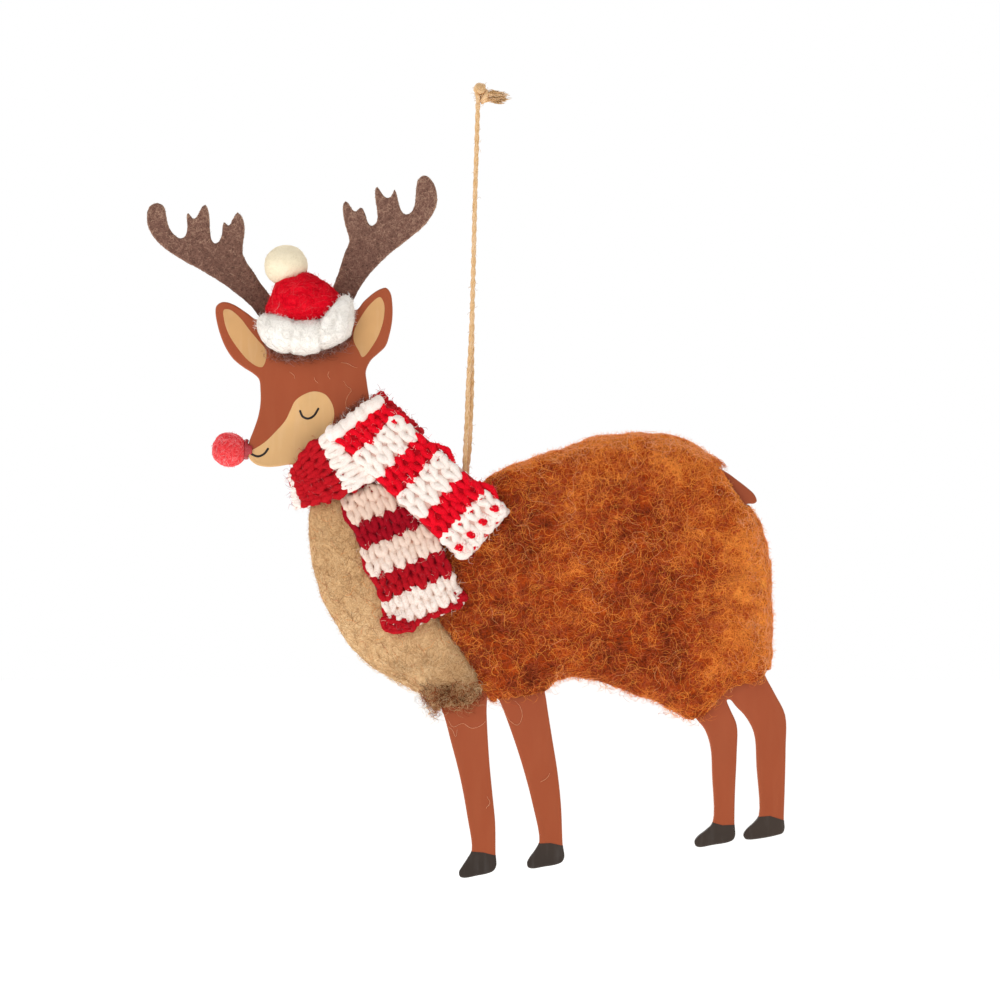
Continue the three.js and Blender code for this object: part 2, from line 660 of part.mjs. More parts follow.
function knot() {
  const core = new THREE.SphereGeometry(KNOT_RADIUS, BALL_STEPS / 2, BALL_STEPS / 3);
  const wrap = new THREE.TorusGeometry(KNOT_RADIUS, twineRadius, TWINE_SIDES, BALL_STEPS);
  wrap.rotateX(THREE.MathUtils.degToRad(KNOT_WRAP_PITCH));
  wrap.rotateY(THREE.MathUtils.degToRad(KNOT_WRAP_YAW));
  wrap.translate(0, 0, KNOT_WRAP_RISE);
  const ends = KNOT_ENDS.map((points) => twine(points.map((p) => new THREE.Vector3(...p)), END_STEPS));
  return geometryOf(joined([core, wrap, ...ends]));
}

// The assembly

const ornament = new THREE.Group();

function add(name, geometry, colour, roughness, place) {
  const material = new THREE.MeshStandardMaterial({ color: colour, roughness, metalness: 0 });
  const mesh = new THREE.Mesh(geometry, material);
  mesh.name = name;
  if (place) mesh.position.copy(place);
  ornament.add(mesh);
}

add("wooden_silhouette", plate, "#a85434", 0.6);
add("body_wool", coat, "#a84a16", 0.95);
add("chest_wool", chest, "#c8a878", 0.95);
add("neck_wool", neckWool, "#6a3318", 0.95);
add("forelock_wool", forelock, "#4a2a20", 0.95);
add("left_antler", antler(LEFT_ANTLER), "#6b4a40", 0.95);
add("right_antler", antler(RIGHT_ANTLER), "#6b4a40", 0.95);
add("hat_cone", hat, "#de0a1e", 0.95);
add("hat_trim", trim, "#f3eee6", 0.95);
add("hat_pompom", ball(POMPOM_DIAMETER), "#f3e8cc", 0.95, pompomCentre);
add("nose_ball", ball(NOSE_DIAMETER), "#d83a44", 0.95, noseCentre);
add("nose_glue", noseGlue, "#8a1420", 0.3);
add("scarf_neck_loop", neckLoop(0), "#e00a1e", 0.9);
add("scarf_upper_tail", foldedTail(), "#e00a1e", 0.9);
add("scarf_lower_tail", lowerStrip, "#b0001c", 0.9);
add("twine_front_strand", strand(-1), "#c8a468", 0.9);
add("twine_rear_strand", strand(1), "#c8a468", 0.9);
add("twine_bight", bight(), "#c8a468", 0.9);
add("twine_knot", knot(), "#c8a468", 0.9, KNOT_CENTRE);

export default ornament;
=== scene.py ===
"""Dresses the reindeer ornament: painted board, felted wool, felt antlers and hat, knitted scarf and jute twine.

Sizes in the code are millimetres unless a name says otherwise. -Y is the painted side and +Z is up.
"""
import math

import bpy
import numpy as np
from bpy.props import FloatProperty, FloatVectorProperty, IntProperty, PointerProperty
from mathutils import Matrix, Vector, noise
from mathutils.bvhtree import BVHTree


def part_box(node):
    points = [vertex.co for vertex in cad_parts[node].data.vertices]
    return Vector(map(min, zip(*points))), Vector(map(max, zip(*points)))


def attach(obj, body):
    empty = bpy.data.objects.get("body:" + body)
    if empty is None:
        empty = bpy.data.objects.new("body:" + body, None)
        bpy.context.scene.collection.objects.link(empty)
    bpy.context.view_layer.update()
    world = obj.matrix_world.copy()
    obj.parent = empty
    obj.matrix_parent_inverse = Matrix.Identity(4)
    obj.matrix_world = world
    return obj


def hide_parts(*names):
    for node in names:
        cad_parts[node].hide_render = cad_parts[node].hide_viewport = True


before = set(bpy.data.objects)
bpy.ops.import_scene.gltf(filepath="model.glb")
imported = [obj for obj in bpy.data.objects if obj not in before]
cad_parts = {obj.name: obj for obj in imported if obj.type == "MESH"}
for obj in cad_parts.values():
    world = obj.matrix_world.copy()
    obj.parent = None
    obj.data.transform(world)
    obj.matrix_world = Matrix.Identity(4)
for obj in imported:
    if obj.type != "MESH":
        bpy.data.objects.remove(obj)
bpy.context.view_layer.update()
wood_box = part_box("wooden_silhouette")

bl_info = {
    "name": "Reindeer ornament",
    "version": (1, 0, 0),
    "blender": (4, 5, 0),
    "location": "3D View > Sidebar > Ornament",
    "description": "Builds a hanging reindeer of painted wood, felted wool and knitting over its fixed frame",
    "category": "Object",
}

MM = 0.001
MOST_TRIANGLES = 180000  # in one piece
CAMERA_PLACE, CAMERA_LENS, SENSOR_WIDTH = (5.175, -1250, -90), 200, 36
FLOOR_RADIUS, FLOOR_HEIGHT, FLOOR_SIDES = 4000, -260, 96
# The lights: the setting of their power, their width and their place, in metres, and where they point
LIGHTS = {
    "key": ("key", 0.7, (-0.55, -0.85, 0.42)),
    "fill": ("fill", 0.9, (0.8, -0.8, 0.1)),
    "right_rim": ("rim", 0.6, (0.6, 0.6, 0.5)),
    "left_rim": ("rim", 0.6, (-0.6, 0.6, 0.5)),
}
LIT_MIDDLE = (0.0, 0.0, -0.1)


# Settings

def linear(code):
    """A colour given as six hex digits, in linear light."""
    parts = [int(code[i:i + 2], 16) / 255 for i in (0, 2, 4)]
    return tuple(p / 12.92 if p <= 0.04045 else ((p + 0.055) / 1.055) ** 2.4 for p in parts)


def colour(name, description, code):
    return FloatVectorProperty(
        name=name, description=description, subtype="COLOR", size=3, min=0, max=1, default=linear(code)
    )


def millimetres(name, description, size):
    return FloatProperty(name=name, description=description, unit="LENGTH", min=0, default=size * MM)


def light_level(name, description, value, kind="NONE"):
    return FloatProperty(name=name, description=description, unit=kind, min=0, default=value)


def whole_number(name, description, count):
    return IntProperty(name=name, description=description, min=0, default=count)


class StageSettings(bpy.types.PropertyGroup):
    backdrop: colour("Backdrop", "Colour of the floor and the wall behind the ornament", "F4F3F1")
    glow: light_level("Backdrop glow", "How far the backdrop is lit up to white", 0.75)
    sky: light_level("Room light", "Strength of the soft light from all round", 0.42)
    key: light_level("Key light", "Power of the large soft light", 4.4, "POWER")
    fill: light_level("Fill light", "Power of the light on the other side", 1.2, "POWER")
    rim: light_level("Rim light", "Power of each light behind the ornament", 5, "POWER")


class BoardSettings(bpy.types.PropertyGroup):
    thickness: millimetres("Thickness", "Thickness of the wood", (wood_box[1][1] - wood_box[0][1]) / MM)
    rounding: millimetres("Edge rounding", "How far the edges are sanded round", 0.45)
    paint: colour("Paint", "Body paint", "9C4A2A")
    # Paint thinned along the edges, and also a painted highlight on their sanded rounding
    worn_and_highlit: colour("Worn edge", "Paint where it thins along the edges", "B8714E")
    cream: colour("Face", "Paint of the face", "DBAE76")
    ear: colour("Ears", "Paint of the inside of the ears", "CC9C66")
    # The ears' cream is the face's cream darkened: painted shade
    hoof: colour("Hooves", "Paint of the hooves", "35281F")
    line: colour("Eye and mouth", "Painted lines", "241812")
    line_width: millimetres("Line width", "Width of the painted eye and mouth", 0.52)


class WoolSettings(bpy.types.PropertyGroup):
    coat: colour("Coat", "Wool of the body", "C44A11")
    # coat_dark is the darkest fibres and also painted shade in the gaps between them; coat_light also paints the glow
    # of the backlit rim
    coat_dark: colour("Coat, dark", "Between the fibres of the body", "5C200C")
    coat_light: colour("Coat, light", "Bright fibres and the rim of the body", "FFA348")
    stray: colour("Strays", "Long pale fibres that lie loose", "F2A466")
    chest: colour("Chest", "Wool of the chest", "CFA678")
    # chest_dark is the darkest fibres and also painted shade in the gaps between them
    chest_dark: colour("Chest, dark", "Between the fibres of the chest", "A67A4E")
    chest_light: colour("Chest, light", "Bright fibres of the chest", "F0D3A6")
    dark: colour("Dark wool", "Wool of the neck and the dark of the tuft", "4A2A20")
    tuft: colour("Tuft", "Wool under the hat", "965642")
    coat_fibres: whole_number("Coat fibres", "Fibres that show on the body", 7400)
    chest_fibres: whole_number("Chest fibres", "Fibres that show on the chest", 2600)
    thickness: millimetres("Fibre thickness", "Thickness of one fibre of wool", 0.084)


class FeltSettings(bpy.types.PropertyGroup):
    antler: colour("Antlers", "Pressed felt of the antlers", "78564A")
    antler_light: colour("Antlers, light", "Pale fibres in the antlers' felt", "BE9C84")
    hat: colour("Hat", "Felted wool of the hat", "E60320")
    trim: colour("Hat trim", "Loose wool round the hat", "F6F1EA")
    pompom: colour("Hat ball", "Felt ball on the hat", "F2E4C6")
    nose: colour("Nose", "Felt ball of the nose", "E4373C")
    glue: colour("Glue", "Glue that holds the nose", "B4222C")


class ScarfSettings(bpy.types.PropertyGroup):
    red: colour("Red yarn", "Dark stripes of the upper tail", "EC0A24")
    white: colour("White yarn", "Pale stripes of the upper tail and the loop", "FBF0E8")
    # The loop's red and the lower tail's colours are the same yarns darkened: painted shade
    loop_red_painted_shade: colour("Red yarn, loop", "Dark stripes of the loop", "BF1420")
    lower_red_painted_shade: colour("Red yarn, lower tail", "Dark stripes of the lower tail", "A10A1E")
    lower_white_painted_shade: colour("White yarn, lower tail", "Pale stripes of the lower tail", "EBD0BE")
    yarn: millimetres("Yarn thickness", "Thickness of the yarn", 1.5)
    row: millimetres("Row height", "From one row of stitches to the next", 3.2)


class TwineSettings(bpy.types.PropertyGroup):
    jute: colour("Jute", "Colour of the twine", "D8AE7A")
    jute_dark: colour("Jute, dark", "Between the plies of the twine", "A87C44")
    thickness: millimetres("Thickness", "Thickness of the twine", 1.1)
    lay: millimetres("Lay", "Length of one turn of the plies", 5.0)


class OrnamentSettings(bpy.types.PropertyGroup):
    stage: PointerProperty(type=StageSettings)
    board: PointerProperty(type=BoardSettings)
    wool: PointerProperty(type=WoolSettings)
    felt: PointerProperty(type=FeltSettings)
    scarf: PointerProperty(type=ScarfSettings)
    twine: PointerProperty(type=TwineSettings)


# Lines and surfaces

def unit(vectors):
    return vectors / np.maximum(np.linalg.norm(vectors, axis=-1, keepdims=True), 1e-9)


def smooth_line(points, steps, closed=False):
    """Centripetal curve through the points, with that many steps from each to the next."""
    points = np.asarray(points, float)
    if closed:
        run = np.vstack([points[-1:], points, points[:2]])
    else:
        run = np.vstack([2 * points[:1] - points[1:2], points, 2 * points[-1:] - points[-2:-1]])
    parts = []
    for p0, p1, p2, p3 in zip(run, run[1:], run[2:], run[3:]):
        spans = np.linalg.norm(np.diff([p0, p1, p2, p3], axis=0), axis=1) ** 0.5
        t0, t1, t2, t3 = np.concatenate([[0], np.cumsum(spans)])
        t = np.linspace(t1, t2, steps, endpoint=False)[:, None]
        a = p0 + (p1 - p0) * (t - t0) / (t1 - t0)
        b = p1 + (p2 - p1) * (t - t1) / (t2 - t1)
        c = p2 + (p3 - p2) * (t - t2) / (t3 - t2)
        near = a + (b - a) * (t - t0) / (t2 - t0)
        far = b + (c - b) * (t - t1) / (t3 - t1)
        parts.append(near + (far - near) * (t - t1) / (t2 - t1))
    if not closed:
        parts.append(points[-1:])
    return np.vstack(parts)


def circle(centre, radius, sides):
    turn = np.linspace(0, 2 * math.pi, sides, endpoint=False)
    return np.array(centre) + radius * np.stack([np.cos(turn), np.sin(turn)], 1)


def line_length(points):
    return np.linalg.norm(np.diff(points, axis=0), axis=1).sum()


def even_line(points, count):
    """The same line with its points spaced evenly."""
    points = np.asarray(points, float)
    along = np.concatenate([[0], np.cumsum(np.linalg.norm(np.diff(points, axis=0), axis=1))])
    wanted = np.linspace(0, along[-1], count)
    return np.stack([np.interp(wanted, along, axis) for axis in points.T], axis=1)


def turned_frames(paths):
    """Directions along, aside and across at each point of many paths, carried along with no twist."""
    along = unit(np.gradient(paths, axis=1))
    aside = np.empty_like(along)
    start = along[:, 0]
    side = np.cross(start, np.where(np.abs(start[:, 2:]) < 0.8, (0.0, 0.0, 1.0), (1.0, 0.0, 0.0)))
    for step in range(paths.shape[1]):
        ahead = along[:, step]
        side = unit(side - ahead * (side * ahead).sum(axis=1, keepdims=True))
        aside[:, step] = side
    return along, aside, np.cross(along, aside)


def tubes(paths, radii, sides, ply=None, columns=1):
    """Closed tubes along many paths with as many points each: points, triangles, map and the owner of each point.

    The map unrolls the tubes side by side in that many columns.
    ply is the number of plies of a twisted yarn, the length of their turn and the depth between them.
    """
    count, steps, _ = paths.shape
    along, aside, across = turned_frames(paths)
    turn = np.linspace(0, 2 * math.pi, sides, endpoint=False)
    radii = np.broadcast_to(radii, (count, steps))[..., None]
    ends = radii[:, [0, -1]]
    if ply:
        plies, lay, depth = ply
        spans = np.linalg.norm(np.diff(paths, axis=1), axis=2)
        run = np.concatenate([np.zeros((count, 1)), spans.cumsum(axis=1)], axis=1)[..., None]
        radii = radii * (1 + depth * np.cos(plies * turn - 2 * math.pi * run / lay))
    spokes = np.cos(turn)[:, None] * aside[:, :, None] + np.sin(turn)[:, None] * across[:, :, None]
    rings = (paths[:, :, None] + radii[..., None] * spokes * np.ones((1, 1, sides, 1))).reshape(count, -1, 3)
    tips = paths[:, [0, -1]] + along[:, [0, -1]] * ends * np.array([-0.6, 0.6])[None, :, None]
    points = np.concatenate([rings, tips], axis=1)

    step, side = (grid.ravel() for grid in np.meshgrid(np.arange(steps - 1), np.arange(sides), indexing="ij"))
    after = (side + 1) % sides
    corners = [step * sides + side, step * sides + after, (step + 1) * sides + after, (step + 1) * sides + side]
    spots = [(step, side), (step, side + 1), (step + 1, side + 1), (step + 1, side)]
    around, last = np.arange(sides), (steps - 1) * sides
    onward = (around + 1) % sides
    faces = np.concatenate([
        np.stack([corners[i] for i in (0, 1, 2)], 1), np.stack([corners[i] for i in (0, 2, 3)], 1),
        np.stack([np.full(sides, steps * sides), onward, around], 1),
        np.stack([np.full(sides, steps * sides + 1), last + around, last + onward], 1),
    ])
    start, end = np.zeros(sides), np.full(sides, steps - 1)
    unrolled = np.concatenate([
        np.stack([np.stack(spots[i], 1) for i in (0, 1, 2)], 1),
        np.stack([np.stack(spots[i], 1) for i in (0, 2, 3)], 1),
        np.stack([np.stack(pair, 1) for pair in ((start, around + 0.5), (start, around + 1), (start, around))], 1),
        np.stack([np.stack(pair, 1) for pair in ((end, around + 0.5), (end, around), (end, around + 1))], 1),
    ]) / np.array([steps - 1, sides])
    lanes = math.ceil(count / columns)
    which = np.arange(count)
    cells = np.stack([which % columns, which // columns], 1)[:, None, None]
    maps = (cells + 0.06 + 0.88 * unrolled[None]) / np.array([columns, lanes])
    size = points.shape[1]
    all_faces = faces[None] + (which * size)[:, None, None]
    return points.reshape(-1, 3), all_faces.reshape(-1, 3), maps.reshape(-1, 2), np.repeat(which, size)


def bumps(points, size, seed):
    """Soft noise from about -1 to 1, with its hollows that far apart."""
    return np.array([noise.noise(p) for p in (points / size + 17.3 * seed).tolist()])


def skin_of(node, cell, ease, swell):
    """A soft CAD solid as an even skin, eased and then swollen by a distance: points, normals and triangles."""
    source = bpy.data.objects.new("skin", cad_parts[node].data.copy())
    bpy.context.scene.collection.objects.link(source)
    remesh = source.modifiers.new("cells", "REMESH")
    remesh.mode, remesh.voxel_size = "VOXEL", cell * MM
    smooth = source.modifiers.new("ease", "SMOOTH")
    smooth.factor, smooth.iterations = 0.5, ease
    mesh = source.evaluated_get(bpy.context.evaluated_depsgraph_get()).to_mesh()
    mesh.calc_loop_triangles()
    points, normals = np.empty((2, len(mesh.vertices) * 3), np.float32)
    faces = np.empty(len(mesh.loop_triangles) * 3, np.int32)
    mesh.vertices.foreach_get("co", points)
    mesh.vertices.foreach_get("normal", normals)
    mesh.loop_triangles.foreach_get("vertices", faces)
    copied = source.data
    bpy.data.objects.remove(source)
    bpy.data.meshes.remove(copied)
    if not len(faces):
        raise RuntimeError(f"{node} left no skin")
    normals = normals.reshape(-1, 3)
    return without_scraps(points.reshape(-1, 3) / MM + swell * normals, normals, faces.reshape(-1, 3))


def without_scraps(points, normals, faces, least=200):
    """The same skin without separate scraps of few points."""
    part, before = np.arange(len(points)), None
    while before is None or (part != before).any():
        before = part.copy()
        np.minimum.at(part, faces.ravel(), np.repeat(part[faces].min(axis=1), 3))
        part = part[part]
    kept = np.bincount(part, minlength=len(points))[part] >= least
    renumbered = np.cumsum(kept) - 1
    return points[kept], normals[kept], renumbered[faces[kept[faces[:, 0]]]]


def surface_of(points, faces):
    return BVHTree.FromPolygons(points.tolist(), faces.tolist())


def node_surface(node):
    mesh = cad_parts[node].data
    return BVHTree.FromPolygons([v.co / MM for v in mesh.vertices], [p.vertices for p in mesh.polygons])


def scatter(points, faces, count, rng, keep=None):
    """Spots spread evenly over the triangles, or over those that keep says, and the normals there."""
    corners = points[faces if keep is None else faces[keep]]
    facing = np.cross(corners[:, 1] - corners[:, 0], corners[:, 2] - corners[:, 0])
    area = np.linalg.norm(facing, axis=1)
    picked = rng.choice(len(corners), count, p=area / area.sum())
    a, b = rng.random((2, count, 1))
    over = a + b > 1
    a, b = np.where(over, 1 - a, a), np.where(over, 1 - b, b)
    chosen = corners[picked]
    return chosen[:, 0] * (1 - a - b) + chosen[:, 1] * a + chosen[:, 2] * b, unit(facing[picked])


def clear_of(points, surface, distance):
    """Which of the points are at least that far from a surface."""
    return np.array([surface.find_nearest(p, distance)[0] is None for p in points.tolist()])


# Fibres

def lying_fibres(surface, spots, normals, reach, steps, curl, lift, rng):
    """Paths of crimped fibres that wander over a surface and dip in and out of it. curl is in turns a millimetre."""
    count = len(spots)
    t = np.linspace(0, 1, steps)

    def one(low, high):
        return rng.uniform(low, high, (count, 1))

    side = unit(np.cross(normals, rng.normal(size=(count, 3))))
    other = np.cross(normals, side)
    stride = reach * one(0.6, 1.4) / (steps - 1)
    bend = rng.normal(0, 0.6, (count, 1)) + 1.3 * np.sin(2 * math.pi * (one(0.6, 2.2) * t + one(0, 1)))
    heading = (2 * math.pi * curl * stride * bend).cumsum(axis=1)
    ahead = np.cos(heading)[..., None] * side[:, None] + np.sin(heading)[..., None] * other[:, None]
    run = (ahead * stride[..., None]).cumsum(axis=1)
    flat = spots[:, None] + run - run[:, steps // 2][:, None]
    wave = 0.5 + 0.5 * np.sin(2 * math.pi * (one(0.7, 2) * t + one(0, 1)))
    height = lift * one(0.4, 1) * np.sin(math.pi * t) ** 0.6 * (0.35 + 0.65 * wave) - 0.06
    laid = np.empty((count * steps, 3))
    for i, (point, over) in enumerate(zip(flat.reshape(-1, 3).tolist(), height.ravel().tolist())):
        spot, normal, _, _ = surface.find_nearest(point)
        laid[i] = spot + normal * over
    return laid.reshape(count, steps, 3)


def standing_fibres(spots, normals, reach, steps, lean, curl, rng):
    """Paths of short fibres that leave a surface, lean over and curl."""
    count = len(spots)
    t = np.linspace(0, 1, steps)[None, :, None]

    def one(low, high):
        return rng.uniform(low, high, (count, 1, 1))

    side = unit(np.cross(normals, rng.normal(size=(count, 3))))
    other = np.cross(normals, side)[:, None]
    lead = unit(normals + lean * rng.uniform(0.3, 1, (count, 1)) * side)[:, None]
    fall = np.cross(other, lead)
    span = reach * one(0.5, 1.4)
    swing = one(0.6, 1.5) * 2 * math.pi * t
    sway = curl * span * (np.sin(swing) * t * other + (1 - np.cos(swing)) * 0.6 * fall * np.sign(one(-1, 1)))
    return spots[:, None] - 0.2 * normals[:, None] + span * t * lead + sway


# Meshes and pieces

def add_object(name, mesh, finish):
    piece = bpy.data.objects.new(name, mesh)
    bpy.context.scene.collection.objects.link(piece)
    mesh.materials.append(finish)
    return piece


def new_piece(name, finish, points, faces, maps=None, **values):
    """A smooth mesh piece of points in millimetres and triangles, with a value at each point for each attribute."""
    mesh = bpy.data.meshes.new(name)
    faces = np.ascontiguousarray(faces, np.int32)
    mesh.vertices.add(len(points))
    mesh.vertices.foreach_set("co", np.ascontiguousarray(points * MM, np.float32).ravel())
    mesh.loops.add(faces.size)
    mesh.loops.foreach_set("vertex_index", faces.ravel())
    mesh.polygons.add(len(faces))
    mesh.polygons.foreach_set("loop_start", np.arange(0, faces.size, 3, dtype=np.int32))
    mesh.update(calc_edges=True)
    mesh.shade_smooth()
    for key, value in values.items():
        values_at = mesh.attributes.new(key, "FLOAT", "POINT").data
        values_at.foreach_set("value", np.ascontiguousarray(value, np.float32))
    if maps is not None:
        mesh.uv_layers.new(name="OFBake").data.foreach_set("uv", np.ascontiguousarray(maps, np.float32).ravel())
    return add_object(name, mesh, finish)


def placed(piece, body, slot, *nodes):
    """The piece on its body, with the CAD nodes that it stands for hidden; slot, the finish it goes by, is not used.
    """
    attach(piece, body)
    if nodes:
        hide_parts(*nodes)
    return piece


def fibre_pieces(name, paths, radius, tones, finish, body, slot, tip=0.4):
    """Fibres of three sides that thin towards both ends, in as few pieces as the limit allows."""
    steps = paths.shape[1]
    each = 6 * steps
    taper = tip + (1 - tip) * np.sin(np.linspace(0, math.pi, steps)) ** 0.5
    parts = max(1, math.ceil(len(paths) * each / MOST_TRIANGLES))
    made = []
    for part, (some, tone) in enumerate(zip(np.array_split(paths, parts), np.array_split(tones, parts))):
        columns = max(1, round(len(some) ** 0.5))
        points, faces, maps, owner = tubes(some, radius * taper[None], 3, columns=columns)
        title = f"{name}_{part + 1}" if parts > 1 else name
        made.append(placed(new_piece(title, finish, points, faces, maps, tone=tone[owner]), body, slot))
    return made


# Materials

def add_node(tree, kind, sockets=None, **settings):
    """A node whose sockets take values or other nodes' outputs."""
    node = tree.nodes.new(kind)
    for key, value in settings.items():
        setattr(node, key, value)
    for key, value in (sockets or {}).items():
        if isinstance(value, bpy.types.NodeSocket):
            tree.links.new(value, node.inputs[key])
        else:
            node.inputs[key].default_value = value
    return node


def mixed(tree, factor, a, b):
    """Two colours mixed by a factor; each is three numbers or an output."""
    a, b = (c if isinstance(c, bpy.types.NodeSocket) else (*c, 1) for c in (a, b))
    return add_node(tree, "ShaderNodeMix", {0: factor, 6: a, 7: b}, data_type="RGBA").outputs[2]


def maths(tree, operation, a, b=0.0, clamp=False):
    return add_node(tree, "ShaderNodeMath", {0: a, 1: b}, operation=operation, use_clamp=clamp).outputs[0]


def times(tree, value, factor):
    return maths(tree, "MULTIPLY", value, factor)


def vector_maths(tree, operation, sockets):
    return add_node(tree, "ShaderNodeVectorMath", sockets, operation=operation).outputs[0]


def object_place(tree):
    return add_node(tree, "ShaderNodeTexCoord").outputs["Object"]


def object_axes(tree):
    return add_node(tree, "ShaderNodeSeparateXYZ", {0: object_place(tree)}).outputs


def soft_noise(tree, place, scale, detail):
    return add_node(tree, "ShaderNodeTexNoise", {"Vector": place, "Scale": scale, "Detail": detail}).outputs


def spread(tree, value, low, high, to_low=0.0, to_high=1.0):
    """A value stretched from one range to another."""
    return add_node(tree, "ShaderNodeMapRange", {0: value, 1: low, 2: high, 3: to_low, 4: to_high}).outputs[0]


def ramp(tree, factor, *stops):
    """A colour from stops of place and colour."""
    node = add_node(tree, "ShaderNodeValToRGB", {0: factor})
    band = node.color_ramp.elements
    while len(band) < len(stops):
        band.new(0.5)
    for element, (place, tint) in zip(band, stops):
        element.position, element.color = place, (*tint, 1)
    return node.outputs[0]


def attribute(tree, name):
    return add_node(tree, "ShaderNodeAttribute", attribute_name=name).outputs["Fac"]


def node_group(name, inputs, outputs):
    """A new shader node group: its tree, its input node and its output node."""
    tree = bpy.data.node_groups.new(name, "ShaderNodeTree")
    for title, default in inputs:
        tree.interface.new_socket(title, in_out="INPUT", socket_type="NodeSocketFloat").default_value = default
    for title in outputs:
        tree.interface.new_socket(title, in_out="OUTPUT", socket_type="NodeSocketFloat")
    return tree, tree.nodes.new("NodeGroupInput"), tree.nodes.new("NodeGroupOutput")


def tangled_fibres():
    """Node group of a tangle of fibres: its strands and their fine grain."""
    if "Tangled fibres" in bpy.data.node_groups:
        return bpy.data.node_groups["Tangled fibres"]
    tree, given, out = node_group("Tangled fibres", [("Scale", 600.0), ("Tangle", 0.8)], ["Strands", "Grain"])
    scaled = vector_maths(tree, "SCALE", {0: object_place(tree), "Scale": given.outputs["Scale"]})
    pull = soft_noise(tree, scaled, 0.7, 2.0)["Color"]
    centred = vector_maths(tree, "SUBTRACT", {0: pull, 1: (0.5, 0.5, 0.5)})
    pulled = vector_maths(tree, "SCALE", {0: centred, "Scale": given.outputs["Tangle"]})
    warped = vector_maths(tree, "ADD", {0: scaled, 1: pulled})
    layers = []
    for scale, shift, width in ((0.55, 3.0, 0.10), (0.9, 11.0, 0.13), (1.4, 29.0, 0.16)):
        moved = vector_maths(tree, "ADD", {0: warped, 1: (shift, -shift, shift)})
        cells = add_node(
            tree, "ShaderNodeTexVoronoi", {"Vector": moved, "Scale": scale}, feature="DISTANCE_TO_EDGE"
        )
        layers.append(spread(tree, cells.outputs["Distance"], 0.0, width, 1.0, 0.0))
    top = maths(tree, "MAXIMUM", maths(tree, "MAXIMUM", layers[0], layers[1]), times(tree, layers[2], 0.75))
    tree.links.new(top, out.inputs["Strands"])
    tree.links.new(soft_noise(tree, warped, 2.6, 3.0)[0], out.inputs["Grain"])
    return tree


def brushed_paint():
    """Node group of hand-brushed paint on wood: its uneven tone and its brush marks."""
    if "Brushed paint" in bpy.data.node_groups:
        return bpy.data.node_groups["Brushed paint"]
    tree, given, out = node_group("Brushed paint", [("Scale", 1.0)], ["Tone", "Brush"])
    scaled = vector_maths(tree, "SCALE", {0: object_place(tree), "Scale": given.outputs["Scale"]})
    drawn = add_node(tree, "ShaderNodeMapping", {"Vector": scaled, "Scale": (520.0, 300.0, 90.0)}).outputs[0]
    tree.links.new(soft_noise(tree, scaled, 70.0, 4.0)[0], out.inputs["Tone"])
    tree.links.new(soft_noise(tree, drawn, 1.0, 2.0)[0], out.inputs["Brush"])
    return tree


def new_finish(name, roughness, sheen=0.0, specular=0.3, glint=(1, 1, 1)):
    """A material, its node tree and its shader; glint is the colour of its sheen."""
    made = bpy.data.materials.new(name)
    made.use_nodes = True
    shader = made.node_tree.nodes["Principled BSDF"]
    shader.inputs["Roughness"].default_value = roughness
    shader.inputs["Specular IOR Level"].default_value = specular
    shader.inputs["Sheen Weight"].default_value = sheen
    shader.inputs["Sheen Roughness"].default_value = 0.45
    shader.inputs["Sheen Tint"].default_value = (*glint, 1)
    return made, made.node_tree, shader


def place_group(tree, group, **values):
    node = add_node(tree, "ShaderNodeGroup", node_tree=group)
    for key, value in values.items():
        node.inputs[key].default_value = value
    return node.outputs


def paint_with(tree, shader, tint):
    tree.links.new(tint, shader.inputs["Base Color"])


def raise_up(tree, shader, height, strength, distance):
    """Bumps of that height, in millimetres."""
    bump = add_node(tree, "ShaderNodeBump", {"Height": height, "Strength": strength, "Distance": distance * MM})
    tree.links.new(bump.outputs[0], shader.inputs["Normal"])


def wool_finish(name, dark, base, light, cell, depth=0.35, sheen=0.2):
    """Felted wool whose strands are about cell apart; the attribute tone leads it from dark to light."""
    made, tree, shader = new_finish(name, 0.92, sheen, 0.1, light)
    wool = place_group(tree, tangled_fibres(), Scale=0.6 / (cell * MM), Tangle=1.4)
    level = times(tree, attribute(tree, "tone"), 0.6)
    level = maths(tree, "ADD", level, times(tree, wool["Strands"], 0.3))
    level = maths(tree, "ADD", level, times(tree, wool["Grain"], 0.4))
    level = maths(tree, "SUBTRACT", level, 0.2, clamp=True)
    paint_with(tree, shader, ramp(tree, level, (0.1, dark), (0.5, base), (0.95, light)))
    raise_up(tree, shader, maths(tree, "ADD", wool["Strands"], wool["Grain"]), 0.6, depth)
    return made


def fibre_finish(name, dark, base, light):
    """Single fibres: each has its own tone, which drifts along it."""
    made, tree, shader = new_finish(name, 0.95, 0.0, 0.03)
    drift = spread(tree, soft_noise(tree, object_place(tree), 500.0, 1.0)[0], 0.3, 0.7, -0.15, 0.15)
    level = maths(tree, "ADD", attribute(tree, "tone"), drift, clamp=True)
    paint_with(tree, shader, ramp(tree, level, (0.05, dark), (0.5, base), (0.95, light)))
    return made


def shaded(tint, factor):
    """A colour made darker, or lighter towards white."""
    if factor <= 1:
        return tuple(c * factor for c in tint)
    return tuple(1 - (1 - c) / factor for c in tint)


def tinged(tint, shares):
    """A colour with each of its parts dimmed to a share."""
    return tuple(c * share for c, share in zip(tint, shares))


# Shapes in the plane of the wood, as x and z

